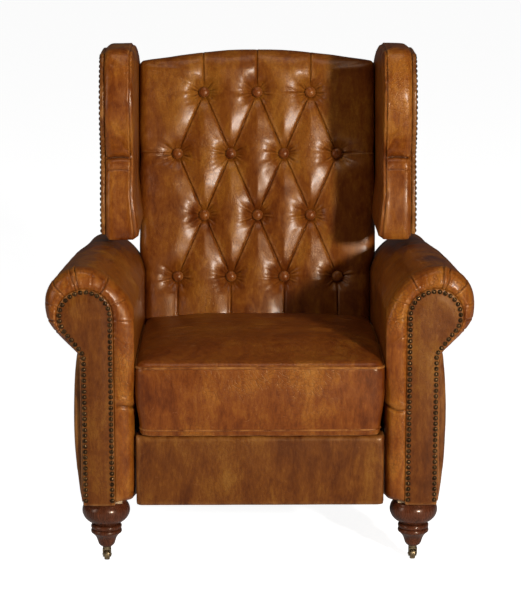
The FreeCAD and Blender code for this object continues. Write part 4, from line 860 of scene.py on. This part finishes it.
def arm_cover(side):
    """The rolled arm's leather: a plump border round the front board, gathered into pleats over the scroll."""
    name = hand(side) + "_arm"
    cover = cover_from(name + "_pad", name + "_cover", VOXEL)
    places = points_of(cover)
    near_front = 1 - rise(places[:, 1], ARM_FRONT + 26 * MM, 56 * MM)
    nails = finder(nails_of(side))
    from_nail = distance_to(nails, places)
    free = rise(from_nail, 10 * MM, 10 * MM)
    relax(cover, near_front * free, 85)

    places = points_of(cover)
    held = 1 - rise(from_nail, 10 * MM, 18 * MM)
    inward = smooth_step((ARM_FLANK - np.abs(places[:, 0])) / (10 * MM))
    rear = rise(places[:, 1], ARM_REAR, 20 * MM)
    foot = 1 - rise(places[:, 2], ARM_FOOT, 25 * MM)
    held = np.maximum.reduce([held, inward, rear, foot])
    stuff(cover, 3.0, 5 * MM, held)

    middle_x, middle_z = scroll_middle(side)
    places = points_of(cover)
    refine_part(cover, (places[:, 1] < ARM_FRONT + 110 * MM) & (places[:, 2] > 0.30))
    places = points_of(cover)
    refine_part(cover, (places[:, 1] < ARM_FRONT + 62 * MM) & (places[:, 2] > middle_z - 75 * MM))

    places, facing = points_of(cover), normals_of(cover)
    from_nail = distance_to(nails, places)
    fronting = rise(-facing[:, 1], 0.15, 0.6)
    plump = 5.5 * MM * rise(from_nail, 5 * MM, 13 * MM) * fronting
    rounding = 1 - rise(places[:, 1], ARM_FRONT + 20 * MM, 50 * MM)
    plump = np.maximum(plump, 4.5 * MM * rounding * rise(from_nail, 10 * MM, 14 * MM))
    plump *= rise(places[:, 2], PLUMP_FROM, 0.08) * 0.75 + 0.25

    across = (places[:, 0] - middle_x) * side
    up = places[:, 2] - middle_z
    radius = np.hypot(across, up)
    angle = np.degrees(np.arctan2(up, -across))
    behind = places[:, 1] - ARM_FRONT
    pleats = np.zeros(len(places))
    wobble = 3.0 * wander(places, 30, 11 + side)
    for spot, strength, length in SCROLL_PLEATS:
        turned = (angle - spot + wobble + 180) % 360 - 180
        sideways = np.radians(turned) * np.maximum(radius, 20 * MM)
        fade = strength * (1 - smooth_step((behind - length * 0.35) / (length * 0.65)))
        pleats -= fade * 2.6 * MM * hump(sideways, 1.3 * MM)
        pleats += fade * 1.3 * MM * hump(sideways - 3.4 * MM, 2.4 * MM)
        pleats += fade * 0.5 * MM * hump(sideways + 5 * MM, 4 * MM)
    round_scroll = rise(places[:, 2], middle_z - 62 * MM, 20 * MM)
    starts = rise(from_nail, 4 * MM, 8 * MM)
    pleats *= round_scroll * starts * (radius > PLEATS_FROM)

    crease_height = ARM_CREASE + 0.006 * np.sin(places[:, 0] * 60)
    crease = -4.5 * MM * hump(places[:, 2] - crease_height, 3.2 * MM)
    crease += 2.0 * MM * hump(places[:, 2] - crease_height - 12 * MM, 8 * MM)
    crease *= rise(from_nail, 5 * MM, 8 * MM)
    crease *= 1 - rise(behind, 26 * MM, 40 * MM)
    crease *= np.abs(places[:, 0]) < BORDER_OUT
    puckers = 1.4 * MM * wander(places * np.array([40, 25, 22]), 1.0, 6)
    puckers *= hump(places[:, 2] - ARM_PUCKERS, 0.035) * fronting * (np.abs(places[:, 0]) < 0.32)
    slack = 0.8 * MM * wander(places, 22, 2 + side) + 0.5 * MM * wander(places, 60, 4 + side)
    slack *= smooth_step(from_nail / (20 * MM))
    lifted = plump + pleats + crease + puckers + slack
    places = places + facing * lifted[:, None]
    inner = np.abs(places[:, 0]) < ARM_INNER
    places[inner, 0] = math.copysign(ARM_INNER, side)
    set_points(cover, places)
    finished(cover, arm_leather, "base", [name + "_pad"])


def arm_facing(side):
    """The flat front board in its own leather, pressed down under each nail."""
    name = hand(side) + "_arm"
    board = cover_from(name + "_facing", name + "_front_board", FACING_VOXEL)
    places, facing = points_of(board), normals_of(board)
    nails = finder(nails_of(side))
    from_nail = distance_to(nails, places)
    fronting = rise(-facing[:, 1], 0.2, 0.5)
    crown = 1.6 * MM * rise(from_nail, 5 * MM, 16 * MM) * fronting
    crown -= 0.5 * MM * hump(from_nail, 6 * MM) * fronting
    slack = 0.35 * MM * wander(places, 40, 9 + side) * fronting
    set_points(board, places + facing * (crown + slack)[:, None])
    finished(board, panel_leather, "base", [name + "_facing"])


def side_panel(node, name, body, voxel=VOXEL):
    """A leather-covered board with rolled edges and a slightly uneven face."""
    panel = cover_from(node, name, voxel)
    relax(panel, np.ones(len(panel.data.vertices)), 3)
    places, facing = points_of(panel), normals_of(panel)
    uneven = 0.7 * MM * wander(places, 11, 8) + 0.3 * MM * wander(places, 34, 7)
    set_points(panel, places + facing * uneven[:, None])
    finished(panel, panel_leather, body, [node])


# ------------ wings
def wing_cover(side):
    """A wing's leather: a sewn front band with a narrow roll inside it, folded where the wing bends."""
    name = hand(side) + "_wing"
    cover = cover_from(name + "_pad", name + "_cover", VOXEL)
    places = points_of(cover)
    outside = rise(np.abs(places[:, 0]), WING_BOARD, 8 * MM)
    foot = 1 - rise(places[:, 2], WING_FOOT, 14 * MM)
    rear = rise(places[:, 1], WING_REAR, 80 * MM)
    stuff(cover, 1.5, 3 * MM, np.maximum.reduce([outside, foot, rear]))
    places = points_of(cover)
    behind_band = 40 * MM + (places[:, 2] - 0.63) * 0.30
    refine_part(cover, places[:, 1] < behind_band)
    places, facing = points_of(cover), normals_of(cover)
    across = np.abs(places[:, 0])
    fronting = smooth_step((np.maximum(-facing[:, 1], facing[:, 2]) - 0.25) / 0.5)
    seam_x = WING_INSIDE + WING_SEAM
    seam = -2.6 * MM * hump(across - seam_x, 1.9 * MM)
    seam += 0.9 * MM * hump(across - seam_x - 4.4 * MM, 2.6 * MM)
    roll = 1.2 * MM * hump(across - WING_INSIDE - 3.5 * MM, 4 * MM)
    fold_height = WING_FOLD + 1.2 * MM * np.sin(across * 90)
    above = places[:, 2] - fold_height
    fold = -5.0 * MM * hump(above, 2.4 * MM) + 2.0 * MM * hump(above - 9 * MM, 6 * MM)
    fold += 1.8 * MM * hump(above + 12 * MM, 8 * MM) - 2.2 * MM * hump(above + 25 * MM, 1.6 * MM)
    fold *= rise(across, seam_x, 6 * MM) * fronting
    puckers = 0.7 * MM * wander(places * np.array([70, 30, 26]), 1.0, 14)
    puckers *= hump(above, 30 * MM) * fronting
    slack = 0.8 * MM * wander(places, 20, 15 + side)
    lifted = (seam + roll) * fronting + fold + puckers + slack
    places += facing * lifted[:, None]
    # the inner face stands a little back from the buttoned cushion
    across = np.abs(places[:, 0])
    slim = np.clip((WING_MIDDLE - across) / (WING_MIDDLE - across.min()), 0, 1)
    slim *= 0.2 + 0.8 * rise(places[:, 2], wing_low.z, 110 * MM)
    places[:, 0] += side * slim * (WING_INNER - across.min())
    set_points(cover, places)
    finished(cover, wing_leather, "back", [name + "_pad"])


# ------------ seat and footrest
def welt(name, path, thickness, material, body):
    """A piped seam that follows a line of points."""
    line = bpy.data.curves.new(name, "CURVE")
    line.dimensions = "3D"
    line.bevel_depth = thickness / 2
    line.bevel_resolution = 3
    line.resolution_u = 3
    line.use_fill_caps = True
    run = line.splines.new("NURBS")
    run.points.add(len(path) - 1)
    for point, place in zip(run.points, path):
        point.co = (*place, 1)
    run.order_u = 4
    run.use_endpoint_u = True
    pick(add_object(name, line))
    bpy.ops.object.convert(target="MESH")
    finished(bpy.context.active_object, material, body)


def seat_cushion():
    """The boxed seat cushion, with a crowned top and a plain front."""
    cover = cover_from("seat_cushion_cover", "seat_cushion", VOXEL)
    places = points_of(cover)
    low, high = cushion_low, cushion_high
    under = 1 - rise(places[:, 2], low.z + 8 * MM, 18 * MM)
    flanks = rise(np.abs(places[:, 0]), SEAT_FLANK, 8 * MM)
    behind = rise(places[:, 1], high.y - 40 * MM, 30 * MM)
    from_edge = np.hypot(places[:, 1] - low.y, places[:, 2] - high.z)
    at_welt = 1 - rise(from_edge, 12 * MM, 24 * MM)
    held = np.maximum.reduce([under, flanks, behind, at_welt])
    stuff(cover, 4.0, 9 * MM, held)
    refine(cover)
    places, facing = points_of(cover), normals_of(cover)
    x, y, z = places.T
    middle = (low.z + high.z) / 2
    wide = smooth_step((CUSHION_HALF - np.abs(x)) / (150 * MM))
    crown = 9 * MM * wide * smooth_step((y - low.y - 15 * MM) / (150 * MM))
    crown *= rise(facing[:, 2], 0.3, 0.4)
    bulge = 3.5 * MM * wide * hump(z - middle, 60 * MM) * rise(-facing[:, 1], 0.3, 0.4)
    creases = 0.9 * MM * wander(places * np.array([9, 75, 30]), 1.0, 21)
    creases += 1.2 * MM * wander(places * np.array([5, 26, 9]), 1.0, 22)
    creases *= rise(facing[:, 2], 0.4, 0.4)
    creases *= 0.3 + 0.7 * smooth_step((y - low.y - 40 * MM) / (200 * MM))
    slack = 0.9 * MM * wander(places, 12, 23) + 0.45 * MM * wander(places, 45, 24)
    lifted = crown + bulge + creases + slack
    places = places + facing * lifted[:, None]
    # the stuffed cushion fills the room between the arms, and draws in towards its foot
    foot = smooth_step((middle + 10 * MM - places[:, 2]) / (80 * MM))
    widen(places, 120 * MM, 120 * MM, SEAT_SWELL - FOOT_LOSS * foot)
    places[:, 0] = np.clip(places[:, 0], -SEAT_HALF, SEAT_HALF)
    set_points(cover, places)
    finished(cover, seat_leather, "seat", ["seat_cushion_cover"])
    seat_welts(cover)


def front_outline(half, low_y, high_y):
    """Round the cushion from its left side over the front to its right: (x, y, way out)."""
    left, round_corner, front = [], [], []
    start_y = high_y - 60 * MM
    for step in range(12):
        left.append((-half, start_y - (high_y - low_y - 60 * MM - SEAT_CORNER) * step / 12, (-1, 0)))
    for step in range(9):
        turn = math.radians(90 * step / 8)
        x = -half + SEAT_CORNER * (1 - math.cos(turn))
        y = low_y + SEAT_CORNER * (1 - math.sin(turn))
        round_corner.append((x, y, (-math.cos(turn), -math.sin(turn))))
    for step in range(1, 24):
        front.append((-half + SEAT_CORNER + (2 * half - 2 * SEAT_CORNER) * step / 24, low_y, (0, -1)))
    one_side = left + round_corner
    return one_side + front + [(-x, y, (-out[0], out[1])) for x, y, out in one_side[::-1]]


def seat_welts(cushion):
    """A welt round the cushion's top edge and a finer seam low on its front, laid on it from outside."""
    surface = bmesh.new()
    surface.from_mesh(cushion.data)
    tree = BVHTree.FromBMesh(surface)
    surface.free()
    low, high = cushion_low, cushion_high
    top_run, low_run = [], []
    for x, y, out in front_outline(SEAT_HALF, low.y, high.y):
        outward = Vector((out[0], out[1], 0))
        lean = (outward * 1.0 + Vector((0, 0, 0.9))).normalized()
        level = high.z - 30 * MM - 25 * MM * max(0, (y - low.y) / (high.y - low.y))
        start = Vector((x, y, level)) - outward * 20 * MM + lean * 0.12
        hit = tree.ray_cast(start, -lean)[0]
        if hit is not None:
            top_run.append(hit + lean * 0.4 * MM)
        if y < low.y + 30 * MM:
            start = Vector((x, y, low.z + 14 * MM)) + outward * 0.1
            hit = tree.ray_cast(start, -outward)[0]
            if hit is not None:
                low_run.append(hit + outward * 0.2 * MM)
    for point in top_run:
        point.x = max(-SEAT_HALF, min(SEAT_HALF, point.x))
    welt("seat_top_welt", top_run, TOP_WELT, welt_leather, "seat")
    welt("seat_low_seam", low_run, LOW_SEAM, welt_leather, "seat")


def footrest_cover():
    """The footrest's padded leather face."""
    cover = cover_from("footrest_pad", "footrest_cover", VOXEL)
    places = points_of(cover)
    held = rise(places[:, 1], footrest_low.y + 14 * MM, 10 * MM)
    above, below = footrest_high.z - places[:, 2], places[:, 2] - footrest_low.z
    edges = (footrest_high.x - np.abs(places[:, 0]), above, below)
    held = np.maximum(held, 1 - smooth_step((np.minimum.reduce(edges) - 4 * MM) / (16 * MM)))
    stuff(cover, 1.5, 3 * MM, held)
    places, facing = points_of(cover), normals_of(cover)
    fronting = rise(-facing[:, 1], 0.2, 0.5)
    slack = (0.9 * MM * wander(places, 9, 31) + 0.4 * MM * wander(places, 36, 32)) * fronting
    places += facing * slack[:, None]
    widen(places, 200 * MM, 40 * MM, FOOTREST_SWELL)
    set_points(cover, places)
    finished(cover, panel_leather, "footrest", ["footrest_pad"])


# ------------ hidden cloths
def stretched_cloth(node, name, body, sag):
    """A black cloth tacked flat to its rails, hanging a little in the middle."""
    low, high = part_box(node)
    width, length = high.x - low.x, high.y - low.y
    middle = (low + high) / 2
    deselect_all()
    bpy.ops.mesh.primitive_grid_add(x_subdivisions=24, y_subdivisions=16, size=1)
    cloth = bpy.context.active_object
    cloth.name = name
    along = points_of(cloth)
    hanging = (1 - (2 * along[:, 0]) ** 2) * (1 - (2 * along[:, 1]) ** 2)
    places = along * np.array([width, length, 0]) + np.array(middle)
    places[:, 2] -= sag * hanging
    set_points(cloth, places)
    wall = cloth.modifiers.new("thickness", "SOLIDIFY")
    wall.thickness = high.z - low.z
    wall.offset = 0
    settle(wall)
    finished(cloth, black_cloth, body, [node])


# ------------ making everything
covered_buttons(buttoned_back())
for left_or_right in (-1, 1):
    arm_cover(left_or_right)
    arm_facing(left_or_right)
    wing_cover(left_or_right)
side_panel("left_arm_outer_panel", "left_arm_side", "base")
side_panel("right_arm_outer_panel", "right_arm_side", "base")
side_panel("arm_rear_panels", "arm_rear_covers", "base")
side_panel("outside_back_panel", "outside_back", "back")
side_panel("left_wing_outer_panel", "left_wing_side", "back", FINE_VOXEL)
side_panel("right_wing_outer_panel", "right_wing_side", "back", FINE_VOXEL)
seat_cushion()
footrest_cover()
stretched_cloth("dust_cover", "under_cloth", "base", 3 * MM)
stretched_cloth("seat_deck", "deck_cloth", "seat", 0.4 * MM)


# ------------ floor, light and camera
AIR_LIGHT = 0.05
FLOOR_GLOW = 0.92  # what the eye sees of the floor beyond its own light
FLOOR_SIDE = 120
KEY_WATTS, LEFT_WATTS, TOP_WATTS = 222, 22, 16
LENS_MM = 135.5
CAMERA_PLACE = (-0.045, -4.870, 1.540)
CAMERA_AZIMUTH = math.radians(-0.587)
CAMERA_ELEVATION = math.radians(12.265)


def studio():
    """A pale floor, a firm light from the right and soft ones elsewhere."""
    deselect_all()
    bpy.ops.mesh.primitive_plane_add(size=FLOOR_SIDE, location=(0, 0, -0.0005))
    floor = bpy.context.active_object
    floor.name = "floor"
    paper = Finish("paper_white")
    paper.colour(paper.ramp(paper.cloud(2, 2), [(0.0, (0.74, 0.74, 0.74)), (1.0, (0.78, 0.78, 0.78))]))
    paper.set(Roughness=0.9, Emission_Color=(1, 1, 1, 1))
    seen = paper.nodes.new("ShaderNodeLightPath").outputs["Is Camera Ray"]
    paper.join(paper.times(seen, FLOOR_GLOW), paper.shader.inputs["Emission Strength"])
    floor.data.materials.append(paper.material)

    world = bpy.data.worlds.new("studio_air")
    world.use_nodes = True
    air = world.node_tree
    air.nodes["Background"].inputs["Color"].default_value = (1, 1, 1, 1)
    seen = air.nodes.new("ShaderNodeLightPath")
    strength = air.nodes.new("ShaderNodeMapRange")
    strength.inputs["To Min"].default_value = AIR_LIGHT
    strength.inputs["To Max"].default_value = 1.0
    air.links.new(seen.outputs["Is Camera Ray"], strength.inputs["Value"])
    air.links.new(strength.outputs["Result"], air.nodes["Background"].inputs["Strength"])
    scene.world = world

    def lamp(name, place, aim, size, power, tint=(1, 1, 1)):
        made = bpy.data.lights.new(name, "AREA")
        made.shape = "RECTANGLE"
        made.size, made.size_y = size
        made.energy = power
        made.color = tint
        holder = add_object(name, made)
        holder.location = place
        holder.rotation_mode = "QUATERNION"
        holder.rotation_quaternion = (Vector(aim) - Vector(place)).to_track_quat("-Z", "Y")

    lamp("key_light", (2.02, -4.42, 1.67), (0, 0, 0.5), (0.30, 0.30), KEY_WATTS, (1.0, 0.97, 0.93))
    lamp("left_softbox", (-2.7, -1.7, 1.5), (0, 0, 0.6), (0.7, 1.8), LEFT_WATTS)
    lamp("top_softbox", (0.0, -0.9, 3.4), (0, 0, 0.5), (1.6, 1.2), TOP_WATTS)

    eye = scene.view_settings
    eye.view_transform, eye.look = "Standard", "None"
    eye.exposure, eye.gamma = 0, 1


def camera():
    lens = bpy.data.cameras.new("camera")
    lens.lens = LENS_MM
    lens.sensor_width = 36
    lens.sensor_fit = "AUTO"
    holder = add_object("camera", lens)
    back_way = Vector((
        math.sin(CAMERA_AZIMUTH) * math.cos(CAMERA_ELEVATION),
        -math.cos(CAMERA_AZIMUTH) * math.cos(CAMERA_ELEVATION),
        math.sin(CAMERA_ELEVATION),
    ))
    holder.location = CAMERA_PLACE
    holder.rotation_mode = "QUATERNION"
    holder.rotation_quaternion = (-back_way).to_track_quat("-Z", "Y")
    lens.clip_start, lens.clip_end = 0.05, 60
    scene.camera = holder


studio()
camera()
